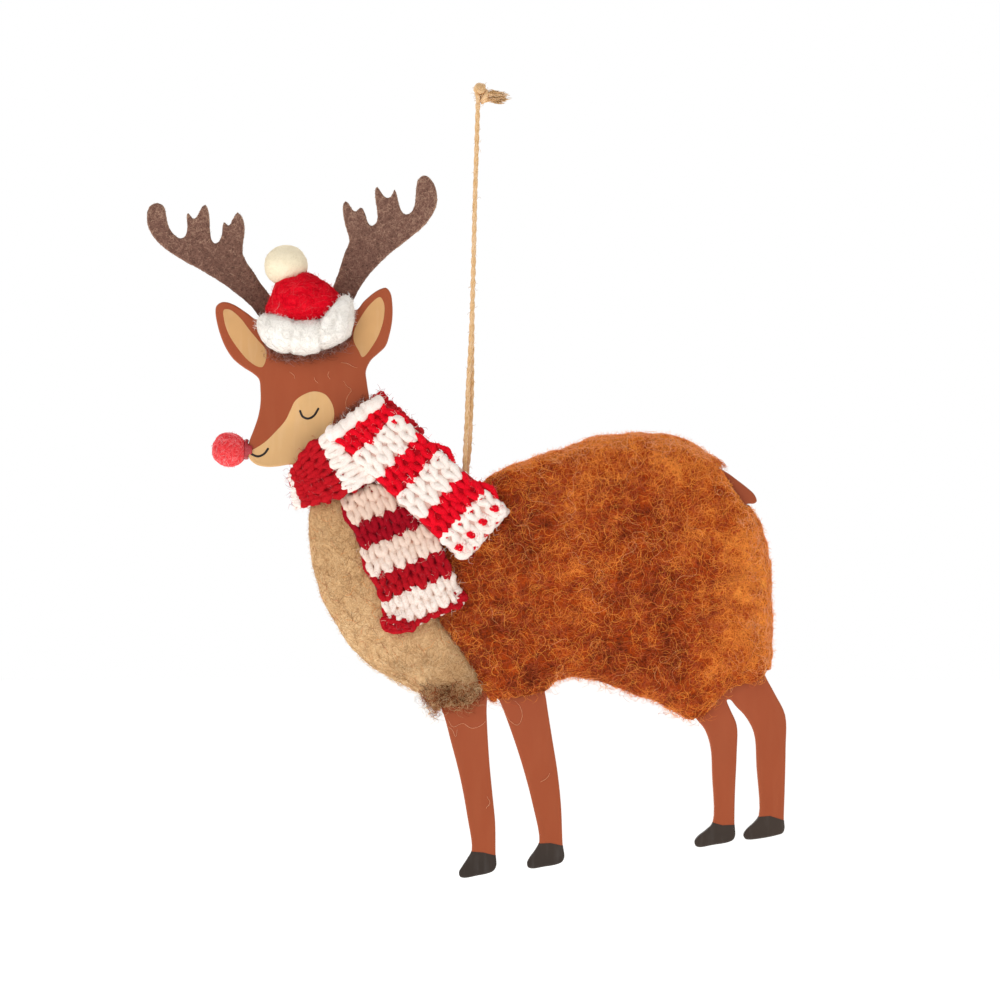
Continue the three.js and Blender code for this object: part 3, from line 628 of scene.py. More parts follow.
BOARD = [
    # left ear
    (-57.6, -45.6), (-58.6, -46.4), (-58.8, -47.8), (-58.4, -50.4), (-57.6, -53.2), (-56.5, -55.8), (-54.8, -58.3),
    (-52.5, -60.2), (-50.3, -61.6), (-49, -62.9),
    # face and throat
    (-48.7, -65.2), (-48.7, -68.3), (-49.2, -71.2), (-50.2, -74.2), (-51.2, -76.8), (-51.6, -78.7), (-51.1, -80.7),
    (-49.6, -82), (-47.5, -82.5), (-44.8, -82.4), (-41.9, -82), (-38.5, -83), (-37, -86), (-36, -91.5),
    # chest
    (-35, -98), (-32.4, -111), (-26, -121.5), (-17, -128.8), (-11.4, -131.4),
    # front leg on the left
    (-8, -137), (-5.8, -144.6), (-3.8, -152.4), (-2.2, -161), (-1.2, -168.8), (-2.1, -170.6), (-3.4, -172.6),
    (-4, -173.7), (-3.8, -174.6), (-2.9, -174.9), (0, -174.4), (2.4, -173.9), (3.7, -173.3), (4.3, -172.2),
    (4.2, -169.9), (4.1, -162.6), (3.5, -156.4), (2.8, -149), (2.3, -141), (2.2, -136.5), (2.6, -133), (3.6, -132),
    # front leg on the right
    (4.4, -134), (5.2, -135.5), (8, -142.9), (10.4, -150.4), (12.4, -158), (14, -166.8), (13.2, -168.6),
    (11.9, -170.4), (11.3, -171.6), (11.5, -172.5), (12.4, -172.8), (15, -172.4), (17.8, -171.9), (19.1, -171.3),
    (19.6, -170.2), (19.3, -167.7), (18.9, -158.6), (18.1, -151), (16.9, -143.5), (15.6, -135), (15.2, -131),
    # belly
    (17.5, -128.2), (23.4, -127.2), (30, -128.6), (38, -131.6), (44, -134.2), (46.8, -134),
    # hind leg on the left
    (49, -138.8), (51.2, -141.6), (52.5, -145.5), (52.9, -152), (53, -162.6), (51.6, -164.2), (49.7, -165.7),
    (49, -166.8), (49.2, -167.7), (50, -168), (53, -167.5), (56.4, -166.9), (57.6, -166.3), (58, -165.3),
    (57.9, -163.1), (58, -156), (58.4, -147), (58.4, -140.6), (56.9, -137), (56.2, -135), (56.9, -134.9),
    # hind leg on the right
    (58.4, -136.6), (60.3, -138.6), (62.3, -142.4), (62.9, -150), (63.4, -161), (62.4, -162.5), (60.7, -164.1),
    (60, -165.3), (60.3, -166.1), (61.1, -166.3), (64, -166), (67.4, -165.3), (68.7, -164.8), (69.1, -163.8),
    (69, -162), (69.2, -155), (69.4, -146), (69.3, -138.4), (67, -133.6), (64.8, -129.5),
    # rump, tail and back
    (63.4, -126), (63.9, -117), (63.5, -107.5), (62.4, -100.3), (60.3, -95), (59, -92), (60.7, -90.9), (62.3, -90.8),
    (62.9, -90.3), (62.4, -88.8), (60.6, -87.1), (58.4, -85.4), (56.2, -83.8), (52.6, -82), (48.7, -80.4),
    (44.7, -78.7), (39.7, -77.7), (33, -77.5), (27.2, -78.5), (20.5, -81), (13.5, -83.2), (8, -85.6), (3, -88),
    (-2.6, -86.3), (-9, -82.6), (-15, -77.2), (-20, -72), (-23.6, -69.3), (-24.4, -66), (-24.8, -63.4), (-25, -61),
    # right ear and the top of the head
    (-23.9, -58.6), (-22.3, -57.1), (-20.6, -55.4), (-19.6, -52.4), (-19.05, -49.2), (-19.05, -45.8),
    (-19.5, -43.3), (-20.4, -42.3), (-21.3, -42.4), (-22.9, -43.2), (-25.4, -45.3), (-27.2, -47.3), (-29.5, -46.6),
    (-33, -45.2), (-40, -45), (-46, -46.8), (-48.2, -49), (-49.6, -49.4), (-51.8, -47.9), (-54.6, -46.1),
    (-56.4, -45.5),
]
CREAM_PAINT = [
    [
        (-36.5, -65.6), (-38.9, -66.3), (-40.9, -67.8), (-41.9, -69.8), (-43.1, -72.2), (-45.3, -74.7),
        (-47.8, -77.1), (-50.7, -78.8), (-53, -79.3), (-53, -84), (-44, -85), (-38, -84), (-36, -79), (-33.5, -75),
        (-32.3, -72.2), (-32.1, -70.3), (-32.6, -68.3), (-34.1, -66.3),
    ],
    [
        (-56.9, -47.3), (-56.8, -49.7), (-55.8, -52.7), (-53.6, -56.1), (-51.2, -58.8), (-49, -60.1), (-48.1, -60),
        (-47.3, -56.6), (-49.2, -54.1), (-51.2, -51.7), (-53.1, -49.2), (-55.6, -47.2),
    ],
    [
        (-21.8, -44.4), (-23.8, -45.8), (-25.7, -48.3), (-27.5, -51.7), (-27.7, -54.1), (-26.5, -56.6),
        (-25.7, -57.9), (-23.3, -55.1), (-21.8, -52.2), (-20.9, -48.8), (-20.9, -45.8),
    ],
]
HOOF_PAINT = [
    [(-8, -169.2), (-1.3, -169), (1.4, -169.2), (4.2, -169.9), (9, -170.4), (9, -178), (-8, -178)],
    [(8.5, -167.6), (14, -167.2), (16.6, -167.1), (19.3, -167.7), (24, -168), (24, -176), (8.5, -176)],
    [(46, -162.2), (53, -162.5), (55.2, -163.1), (57.9, -163), (59.2, -162.8), (59.2, -171), (46, -171)],
    [(59.4, -161.6), (63.4, -161.2), (65.9, -161), (69, -162), (72, -162.4), (72, -169), (59.4, -169)],
]
# Loose fibres caught on the painted face and legs
LOOSE_FIBRES = [
    [(-30.1, -63.1), (-29.2, -64.4), (-28.2, -65.3), (-29, -66.6), (-29.5, -68.2), (-29.1, -69.6), (-28.4, -70.6)],
    [(-30.6, -59.1), (-29.2, -59.3), (-27.9, -60), (-26.9, -60.3)],
    [(-36.6, -62.4), (-36.3, -63.2), (-35.7, -63.7)],
    [(-42.2, -61.2), (-41.2, -61.9), (-40.9, -62.8)], [(-33.2, -61), (-33.5, -62), (-33, -62.9)],
    [(-6.6, -139.2), (-5.4, -141), (-3.2, -140.2), (-1.2, -141.3), (1, -140.6), (2.2, -139.4)],
    [(-7, -140.6), (-5.6, -141.6), (-4.8, -143.2), (-4.4, -141.4)],
    [(5.6, -136), (7.2, -139.4), (9.2, -140.6), (10.2, -138.4), (9.4, -136), (8.2, -135)],
    [(2.2, -156.6), (2.9, -158), (2, -159.4)], [(14.2, -153.4), (15.6, -152.6), (16.4, -151.4)],
]
EYE = [(-39.8, -69.9), (-39.2, -71.2), (-38, -71.7), (-36.7, -71.1), (-35.6, -69.4)]
MOUTH = [(-50.7, -79.7), (-49.2, -80.2), (-47.8, -79.6), (-46.9, -78.4)]
HOLE = (-2.6, -89.5)
HOLE_DIAMETER, HOLE_SIDES = 2.2, 28

# How far in front of the wood and behind it the tools that cut it reach, and how thick the paint of the lines is
PAST_BOARD, INK = 4, 0.05

# Darker and brighter places in the coat: x, z, how wide and by how much
# The brightest, along the back and the rump, are a painted highlight of the backlit rim
COAT_PATCHES = [
    (11, -95, 6, -0.32), (10, -102, 4, -0.2), (3, -90, 5, -0.25), (-4, -104, 7, -0.24), (6, -121, 10, -0.24),
    (37, -93, 7, -0.22), (38, -112, 9, -0.2), (30, -125, 6, -0.25), (14, -131, 5, -0.35), (52, -104, 4, -0.15),
    (44, -121, 5, -0.18), (61, -102, 9, 0.42), (63, -118, 9, 0.42), (28, -77, 8, 0.28), (48, -79, 8, 0.3),
    (24, -104, 8, 0.1), (19, -92, 7, 0.08), (48, -96, 6, 0.1), (22, -120, 6, 0.02), (55, -128, 6, 0.1),
    (40, -129, 10, -0.12),
]

# The strands of twine from the hole up: x, how far out, z, and how far apart
STRAND_ROUTE = [
    (-2.6, 4.4, -84.5, 0.4), (-2.2, 2.9, -79, 1), (-1.85, 1.6, -72, 1), (-1.6, 0.8, -65, 1), (-1.3, 0.7, -56, 0.4),
    (-1, 0.7, -45, 0), (-0.7, 0.7, -33, 0), (-0.45, 0.7, -22, 0), (-0.1, 0.7, -11, 0), (0.2, 0.7, -0.9, 0),
]
STRAND_SPREAD = 0.42
BEND_START, BEND_RADIUS = 2.1, 2.4
KNOT_TURNS = [
    (0.2, -0.55, -0.6), (0.25, -0.6, 0.5), (0, -0.5, 1.5), (-0.2, 0.3, 2.5), (0.3, 0.9, 3.4), (1.2, 0.3, 3.3),
    (1.5, -0.8, 2.6), (0.9, -1.3, 1.8), (0.2, -1, 2.4), (0.4, -0.2, 3.2), (1.3, 0.5, 2.6), (1.9, 0.2, 1.8),
    (2.8, -0.3, 1.4), (3.8, -0.35, 1.35), (5.1, -0.45, 1.15),
]
KNOT_TURNS_REAR = [
    (0.2, 0.55, -0.6), (0.5, 0.6, 0.5), (0.9, 1.2, 1.4), (1.6, 0.9, 2.1), (2.1, -0.2, 1.9), (2, -1.1, 1),
    (1.5, -1, 0), (1.2, 0, -0.4), (1.7, 0.8, -0.1), (2.5, 0.5, 0.15), (3.2, 0.1, 0.2), (4.1, 0.1, 0.2),
    (5.1, 0.2, 0.15),
]
KNOT_CORES = [((0.6, 0, 2.4), 1.35), ((1.7, 0, 0.8), 1.05)]
FRAYED_FIBRES = 240  # at each end of the twine

# The scarf's tails: the heading from the top to the free end, the top, the length, the widths at both ends
# and, of the upper one, the depth of its folded edge and how much further along that is on the far side
UPPER_TAIL = {
    "heading": -42, "top": (-29.3, -69.8), "length": 41.5, "widths": (14.2, 16.4), "lip": 2.9, "slant": 4.2,
}
LOWER_TAIL = {"heading": -68, "top": (-22.3, -87.5), "length": 31, "widths": (17.6, 18.2)}
SCARF_THICKNESS = 2.2
# Where the neck's wool comes out from under the scarf
NECK_LINE = [(-32.6, -74.4), (-30.4, -72.3), (-27.6, -69.9), (-24.9, -67.6)]
# The loop round the neck: x, depth, z, width and lean
NECK_LOOP = [
    (-40.7, 0, -87.9, 8, -84), (-35.4, -5.4, -84.2, 14, -76), (-22.24, -5.4, -76.16, 14, -42),
    (-17.42, 0, -70.81, 14, -42), (-23, 5.4, -74, 13.3, -50), (-30, 5.4, -79.6, 11.9, -62),
    (-37, 4.86, -85.2, 9.8, -76),
]


# Building blocks of the board, the twine and the knitting

def mesh_of(name, points, faces):
    mesh = bpy.data.meshes.new(name)
    mesh.from_pydata((np.asarray(points) * MM).tolist(), [], faces)
    return mesh


def carved(name, mesh, tool, operation):
    """What one solid leaves of another."""
    body, cutter = (bpy.data.objects.new(name, data) for data in (mesh, tool))
    for piece in (body, cutter):
        bpy.context.scene.collection.objects.link(piece)
    cut = body.modifiers.new("cut", "BOOLEAN")
    cut.object, cut.operation, cut.solver = cutter, operation, "EXACT"
    made = bpy.data.meshes.new_from_object(body.evaluated_get(bpy.context.evaluated_depsgraph_get()))
    for piece in (body, cutter):
        bpy.data.objects.remove(piece)
    if not made.polygons:
        raise RuntimeError(f"{name} has nothing left")
    made.polygons.foreach_set("use_smooth", [abs(face.normal.y) < 0.999 for face in made.polygons])
    return made


def slab(outline, half, rounding, grow=0.0):
    """A board with sanded edges: points, and faces of which the last two are its sides."""
    ahead = unit(np.roll(outline, -1, axis=0) - np.roll(outline, 1, axis=0))
    inward = np.stack([-ahead[:, 1], ahead[:, 0]], 1)
    angles = np.linspace(0, math.pi / 2, 5)
    rings = []
    for side, turns in ((-1, angles[::-1]), (1, angles)):
        for a in turns:
            rim = outline + inward * (rounding * (1 - math.cos(a)) - grow)
            rings.append(np.insert(rim, 1, side * (half + grow - rounding * (1 - math.sin(a))), axis=1))
    count = len(outline)
    faces = []
    for near in range(0, (len(rings) - 1) * count, count):
        far = near + count
        faces += [(near + i, far + i, far + (i + 1) % count, near + (i + 1) % count) for i in range(count)]
    last = (len(rings) - 1) * count
    faces += [tuple(range(count)), tuple(range(last + count - 1, last - 1, -1))]
    return np.vstack(rings), faces


def prisms(outlines, front, back):
    """Straight prisms of several outlines, from one depth to another."""
    points, faces = [], []
    for outline in outlines:
        flat = np.asarray(outline, float)
        count, first = len(flat), sum(len(p) for p in points)
        points += [np.insert(flat, 1, y, axis=1) for y in (front, back)]
        last = first + count
        faces += [(first + i, last + i, last + (i + 1) % count, first + (i + 1) % count) for i in range(count)]
        faces += [tuple(range(first, last)), tuple(range(last + count - 1, last - 1, -1))]
    return np.vstack(points), faces


def laid_plies(path, thickness, lay, step=0.3, sides=9):
    """A two-ply twine along a line: points, triangles, map and owners."""
    path = even_line(path, max(8, round(line_length(path) / step)))
    _, aside, across = turned_frames(path[None])
    turn = (np.arange(len(path)) * line_length(path) / (len(path) - 1) * 2 * math.pi / lay)[:, None]
    reach = thickness * 0.14
    plies = [path + reach * (np.cos(turn + p) * aside[0] + np.sin(turn + p) * across[0]) for p in (0, math.pi)]
    return tubes(np.stack(plies), thickness * 0.37, sides, ply=(5, -lay * 0.5, 0.06))


def lumpy_ball(centre, radius, seed):
    """A closed ball with an uneven surface, as a tube along its axis: points, triangles, map and owners."""
    turn = np.linspace(-math.pi / 2, math.pi / 2, 15)[1:-1]
    axis = np.array(centre) + np.outer(np.sin(turn), (0, 0, radius))
    points, faces, maps, owner = tubes(axis[None], radius * np.cos(turn)[None], 20)
    away = unit(points - np.array(centre))
    return points + away * (0.12 * radius * bumps(points, radius * 0.7, seed))[:, None], faces, maps, owner


def strand_line(side):
    """The middle of a strand of twine: out of the hole, round the bend and up to the knot. side is -1 in front."""
    bend = [
        (HOLE[0], side * (BEND_START + BEND_RADIUS * math.sin(a)), HOLE[1] + BEND_RADIUS * (1 - math.cos(a)))
        for a in np.linspace(0, math.pi / 2, 5)
    ]
    rise = [(x + side * apart * STRAND_SPREAD, side * out, z) for x, out, z, apart in STRAND_ROUTE]
    return smooth_line(bend + rise, 8)


class Strip:
    """A strip of cloth: a grid of points from its start to its free end and from side to side."""

    def __init__(self, grid):
        self.grid = grid
        self.out = unit(np.cross(np.gradient(grid, axis=0), np.gradient(grid, axis=1)))
        self.length = line_length(grid[:, grid.shape[1] // 2])
        self.width = np.mean([line_length(row) for row in grid])

    def at(self, along, across, out):
        """Points at shares of the length and the width, that far out of the cloth."""
        rows, columns = self.grid.shape[:2]
        r, c = along * (rows - 1), across * (columns - 1)
        i, j = np.clip(r.astype(int), 0, rows - 2), np.clip(c.astype(int), 0, columns - 2)
        down, over = (r - i)[..., None], (c - j)[..., None]

        def blend(field):
            near = field[i, j] * (1 - over) + field[i, j + 1] * over
            far = field[i + 1, j] * (1 - over) + field[i + 1, j + 1] * over
            return near * (1 - down) + far * down

        return blend(self.grid) + blend(self.out) * out[..., None]

    def backing(self, thickness):
        """The cloth itself, closed and that thick: points, triangles and the share of the length of each point."""
        rows, columns = self.grid.shape[:2]
        points = np.concatenate([self.grid + self.out * thickness / 2, self.grid - self.out * thickness / 2])
        i, j = (g.ravel() for g in np.meshgrid(np.arange(rows - 1), np.arange(columns - 1), indexing="ij"))
        a, b, c, d = i * columns + j, (i + 1) * columns + j, (i + 1) * columns + j + 1, i * columns + j + 1
        size = rows * columns
        rim = np.concatenate([
            np.arange(columns), columns * np.arange(1, rows) + columns - 1,
            size - 1 - np.arange(1, columns), columns * np.arange(rows - 2, 0, -1),
        ])
        after = np.roll(rim, -1)
        faces = np.concatenate([
            np.stack([a, b, c], 1), np.stack([a, c, d], 1),
            np.stack([a, c, b], 1) + size, np.stack([a, d, c], 1) + size,
            np.stack([rim, after, after + size], 1), np.stack([rim, after + size, rim + size], 1),
        ])
        share = np.repeat(np.linspace(0, 1, rows), columns)
        return points.reshape(-1, 3), faces, np.concatenate([share, share])


def tail_strip(node, heading, top, length, widths, lip=None, slant=0.0):
    """A hanging tail of the scarf, laid as deep as its CAD solid.

    lip is how deep its folded edge starts, and slant how much further along that edge is on the far side.
    """
    turn = math.radians(heading)
    along, across = np.array([math.cos(turn), math.sin(turn)]), np.array([-math.sin(turn), math.cos(turn)])
    surface = node_surface(node)
    start = SCARF_THICKNESS + 0.4 if lip else 0.3
    line = []
    for run in np.linspace(start, length - 0.3, 24):
        x, z = np.array(top) + along * run
        hit = surface.ray_cast((x, -60, z), (0, 1, 0))[0]
        if hit is None:
            raise RuntimeError(f"{node} has no front at {run:.1f}")
        line.append((run, hit.y + SCARF_THICKNESS / 2))
    if lip:
        crest = line[0][1]
        line = [(0.95, -lip), (0.8, (crest - lip) / 2), (1.1, crest + 0.5)] + line
    line = even_line(smooth_line(line, 6), 120)
    shares = np.linspace(-0.5, 0.5, 17)
    grid = np.empty((len(line), len(shares), 3))
    for i, (run, depth) in enumerate(line):
        width = np.interp(run, (0, length), widths) - 0.8
        runs = run + slant * (shares + 0.5) * math.exp(-run / 6)
        flat = np.array(top) + np.outer(runs, along) + np.outer(shares * width, across)
        curl = 0.5 * np.abs(2 * shares) ** 6
        grid[i] = np.stack([flat[:, 0], depth + curl, flat[:, 1]], 1)
    return Strip(grid)


def loop_strip():
    """The scarf's loop round the neck, from the throat across the front, the nape and the back."""
    line = smooth_line(NECK_LOOP, 16, closed=True)
    line = np.vstack([line, line[:1]])
    middle, width, lean = line[:, :3], line[:, 3], np.radians(line[:, 4])
    run = unit(np.gradient(middle, axis=0))
    run[0] = run[-1] = unit(run[0] + run[-1])
    across = -np.stack([np.cos(lean), np.zeros_like(lean), np.sin(lean)], 1)
    across = unit(across - run * (across * run).sum(axis=1, keepdims=True))
    shares = np.linspace(-0.5, 0.5, 13)
    return Strip(middle[:, None] + shares[None, :, None] * (width - 0.8)[:, None, None] * across[:, None])


def stitch_row(strip, place, stitches, reaches, rng, depth=0.4, head=0.0, tip=0.0, slack=1.0):
    """One row of stocking stitch whose loops' heads face the strip's start.

    place is how far its middle is from there and reaches how far from that its heads and feet are.
    head and tip lift the heads and the points of the loops into view and slack is how uneven the row is.
    """
    turn = np.linspace(-math.pi, 2 * math.pi * stitches - math.pi, 26 * stitches + 1)
    gauge = strip.width / stitches
    done = (turn + math.pi) / (2 * math.pi)
    pull = rng.normal(0, 0.05 * slack, stitches + 1)[np.floor(done).astype(int)]
    knots = np.linspace(0, stitches, 4 * stitches)

    def wobble(size):
        return np.interp(done, knots, rng.normal(0, size * slack, len(knots)))

    over = gauge * (done + (0.2 - 0.09 * np.cos(turn)) * np.sin(2 * turn)) + wobble(0.1)
    up, low = np.clip(np.cos(turn), 0, 1), np.clip(-np.cos(turn), 0, 1)
    down = place + (reaches[1] * low - reaches[0] * up) * (1 + pull) + wobble(0.12)
    edge = np.minimum(done, stitches - done)
    rise = head * up ** 2 + tip * low * np.sin(2 * turn) ** 2 - 0.6 * low ** 4
    rise = rise - depth * np.cos(2 * turn) + wobble(0.08) - 0.5 * np.exp(-((edge / 0.08) ** 2))
    return strip.at(down / strip.length, over / strip.width, rise)


def edge_cord(strip, place, spans, wave, out, rng, shape=1.0):
    """Yarn along an end of the strip, in waves; spans are the shares of the width it goes between and their number."""
    first, last, count = spans
    t = np.linspace(0, count, 16 * count + 1)
    over = strip.width * (first + (last - first) * t / count)
    swing = np.abs(np.sin(math.pi * t)) ** shape
    jitter = np.interp(t, np.arange(count + 1), rng.normal(0, 0.12, count + 1))
    return strip.at((place + wave * swing + jitter) / strip.length, over / strip.width, out + 0.25 * swing)


def tangle(strip, over, down, out, size, turns, rng):
    """A small heap of yarn at a place on the strip, in millimetres across and along it."""
    t = np.linspace(0, 2 * math.pi * turns, round(22 * turns))
    drift = np.linspace(-0.5, 0.5, len(t))
    x = over + size * (np.cos(t) * (1 + 0.2 * np.sin(1.7 * t)) + 0.5 * drift)
    y = down + size * 0.8 * np.sin(t + 0.4) + size * 0.4 * drift
    return strip.at(y / strip.length, x / strip.width, out + 0.3 * np.cos(1.5 * t) + rng.normal(0, 0.03, len(t)))


def float_line(strip, side, start, end, bulge):
    """Yarn carried along an edge from one stripe to the next. side is 0 or 1 across."""
    t = np.linspace(0, 1, 40)
    swell = np.sin(math.pi * t)
    across = side + (1 if side else -1) * (bulge * swell - 0.5) / strip.width
    return strip.at((start + (end - start) * t) / strip.length, across, 0.6 * swell - 0.5)


def together(parts):
    """Several sets of tubes as one, each in its own band of the map."""
    points, faces, maps, owners = zip(*parts)
    first = np.concatenate([[0], np.cumsum([len(p) for p in points])])
    owned = np.concatenate([[0], np.cumsum([o.max() + 1 for o in owners])])
    bands = [(m + (0, i)) / (1, len(parts)) for i, m in enumerate(maps)]
    return (
        np.vstack(points), np.vstack([f + n for f, n in zip(faces, first)]), np.vstack(bands),
        np.concatenate([o + n for o, n in zip(owners, owned)]),
    )


# Finishes of this object's own pieces

def paint_finish(name, base, worn_and_highlit, roughness=0.5):
    """Brushed paint, thinner and with a painted highlight where the attribute rim says, painted shade down the legs,
    deeper on the tail.
    """
    made, tree, shader = new_finish(name, roughness, 0.0, 0.2)
    brushed = place_group(tree, brushed_paint())
    place = object_axes(tree)
    low = spread(tree, place["Z"], -0.125, -0.168, 0.0, 0.3)
    body = mixed(tree, spread(tree, brushed["Tone"], 0.35, 0.65, 0.0, 0.22), base, shaded(base, 0.76))
    # Painted shade: the paint deepens down the legs
    body = mixed(tree, low, body, tinged(base, (0.84, 0.8, 0.55)))
    body = mixed(tree, spread(tree, brushed["Brush"], 0.4, 0.75, 0.0, 0.08), body, worn_and_highlit)
    tail = times(tree, spread(tree, place["X"], 0.05, 0.054), spread(tree, place["Z"], -0.098, -0.094))
    body = mixed(tree, times(tree, tail, 0.25), body, shaded(base, 0.5))
    # The rounded edges take the worn colour: thinned paint, and a painted highlight where they catch the light
    body = mixed(tree, times(tree, attribute(tree, "rim"), 0.6), body, worn_and_highlit)
    paint_with(tree, shader, body)
    gloss = spread(tree, brushed["Brush"], 0.3, 0.7, roughness - 0.06, roughness + 0.1)
    tree.links.new(gloss, shader.inputs["Roughness"])
    raise_up(tree, shader, maths(tree, "ADD", brushed["Brush"], brushed["Tone"]), 0.15, 0.05)
    return made


def film_finish(name, base, deep, high, low, streaks=0.2):
    """Paint laid over paint, which deepens from one height to another, in millimetres."""
    made, tree, shader = new_finish(name, 0.55, 0.0, 0.3)
    brushed = place_group(tree, brushed_paint(), Scale=1.6)
    fall = spread(tree, object_axes(tree)["Z"], high * MM, low * MM)
    body = mixed(tree, fall, base, deep)
    body = mixed(tree, spread(tree, brushed["Tone"], 0.4, 0.65, 0.0, 0.45), body, deep)
    body = mixed(tree, spread(tree, brushed["Brush"], 0.5, 0.8, 0.0, streaks), body, shaded(base, 1.25))
    paint_with(tree, shader, body)
    raise_up(tree, shader, brushed["Brush"], 1.5 * streaks, 0.04)
    return made


def yarn_finish(name, tint, deep, end):
    """Soft woollen yarn with painted shade between its hairs; the attribute tone leads it to the end's colour, as
    painted shade clears.
    """
    made, tree, shader = new_finish(name, 0.9, 0.15, 0.1, tint)
    hairs = place_group(tree, tangled_fibres(), Scale=2200.0, Tangle=1.0)
    level = maths(tree, "ADD", times(tree, hairs["Strands"], 0.55), times(tree, hairs["Grain"], 0.75))
    along = mixed(tree, attribute(tree, "tone"), tint, end)
    paint_with(tree, shader, mixed(tree, spread(tree, level, 0.2, 0.7), deep, along))
    raise_up(tree, shader, level, 0.6, 0.15)
    return made


def backing_finish(name, red, white):
    """The inside of the knitting, seen between the stitches: the stripes' colours darkened as painted shade, the white
    tinged pink as a painted reflection of the red; the attribute tone picks the stripe.
    """
    made, tree, shader = new_finish(name, 0.95, 0.2, 0.1)
    hairs = place_group(tree, tangled_fibres(), Scale=1600.0, Tangle=1.0)
    stripe = mixed(tree, attribute(tree, "tone"), shaded(red, 0.5), tinged(white, (0.8, 0.62, 0.58)))
    paint_with(tree, shader, mixed(tree, times(tree, hairs["Grain"], 0.25), stripe, shaded(red, 0.4)))
    raise_up(tree, shader, hairs["Strands"], 0.5, 0.1)
    return made


def jute_finish(name, base, deep):
    """Jute whose fibres run along the twine."""
    made, tree, shader = new_finish(name, 0.8, 0.15, 0.25)
    place = object_place(tree)
    drawn = add_node(tree, "ShaderNodeMapping", {"Vector": place, "Scale": (5200.0, 5200.0, 900.0)}).outputs[0]
    fibres, blotch = soft_noise(tree, drawn, 1.0, 4.0)[0], soft_noise(tree, place, 260.0, 2.0)[0]
    level = maths(tree, "ADD", times(tree, fibres, 0.7), times(tree, blotch, 0.3))
    paint_with(tree, shader, ramp(tree, level, (0.3, deep), (0.46, base), (0.72, shaded(base, 1.3))))
    raise_up(tree, shader, fibres, 0.6, 0.1)
    return made


# Operators

def add_light(name, power, size, place, target):
    lamp = bpy.data.lights.new(name, "AREA")
    lamp.energy, lamp.shape, lamp.size = power, "DISK", size
    light = bpy.data.objects.new(name, lamp)
    light.location = place
    light.rotation_euler = (Vector(target) - Vector(place)).to_track_quat("-Z", "Y").to_euler()
    bpy.context.scene.collection.objects.link(light)


class ORNAMENT_OT_stage(bpy.types.Operator):
    """Sets the camera, the soft light and the pale floor"""
    bl_idname = "ornament.stage"
    bl_label = "Stage"

    def execute(self, context):
        scene, stage = context.scene, context.scene.ornament.stage
        camera = bpy.data.objects.new("camera", bpy.data.cameras.new("camera"))
        camera.data.lens, camera.data.sensor_width = CAMERA_LENS, SENSOR_WIDTH
        camera.location, camera.rotation_euler = Vector(CAMERA_PLACE) * MM, (math.pi / 2, 0, 0)
        scene.collection.objects.link(camera)
        scene.camera = camera
        scene.view_settings.view_transform = "Standard"
        scene.world = bpy.data.worlds.new("room")
        scene.world.use_nodes = True
        tree = scene.world.node_tree
        room = tree.nodes["Background"]
        room.inputs["Color"].default_value = (1, 1, 1, 1)
        seen = add_node(tree, "ShaderNodeLightPath").outputs["Is Camera Ray"]
        tree.links.new(spread(tree, seen, 0.0, 1.0, stage.sky, 1.0), room.inputs["Strength"])
        for name, (setting, size, place) in LIGHTS.items():
            add_light(name, getattr(stage, setting), size, place, LIT_MIDDLE)
        finish, tree, shader = new_finish("white_floor", 0.9, 0.0, 0.1)
        paper = add_node(tree, "ShaderNodeTexNoise", {"Scale": 30.0, "Detail": 3.0})
        cloudy = times(tree, paper.outputs[0], 0.1)
        paint_with(tree, shader, mixed(tree, cloudy, stage.backdrop, shaded(stage.backdrop, 0.95)))
        shader.inputs["Emission Color"].default_value = (*stage.backdrop, 1)
        shader.inputs["Emission Strength"].default_value = stage.glow
        rim = np.insert(circle((0, 0), FLOOR_RADIUS, FLOOR_SIDES), 2, FLOOR_HEIGHT, axis=1)
        floor = add_object("floor", mesh_of("floor", rim, [tuple(range(FLOOR_SIDES))]), finish)
        return {"FINISHED"}


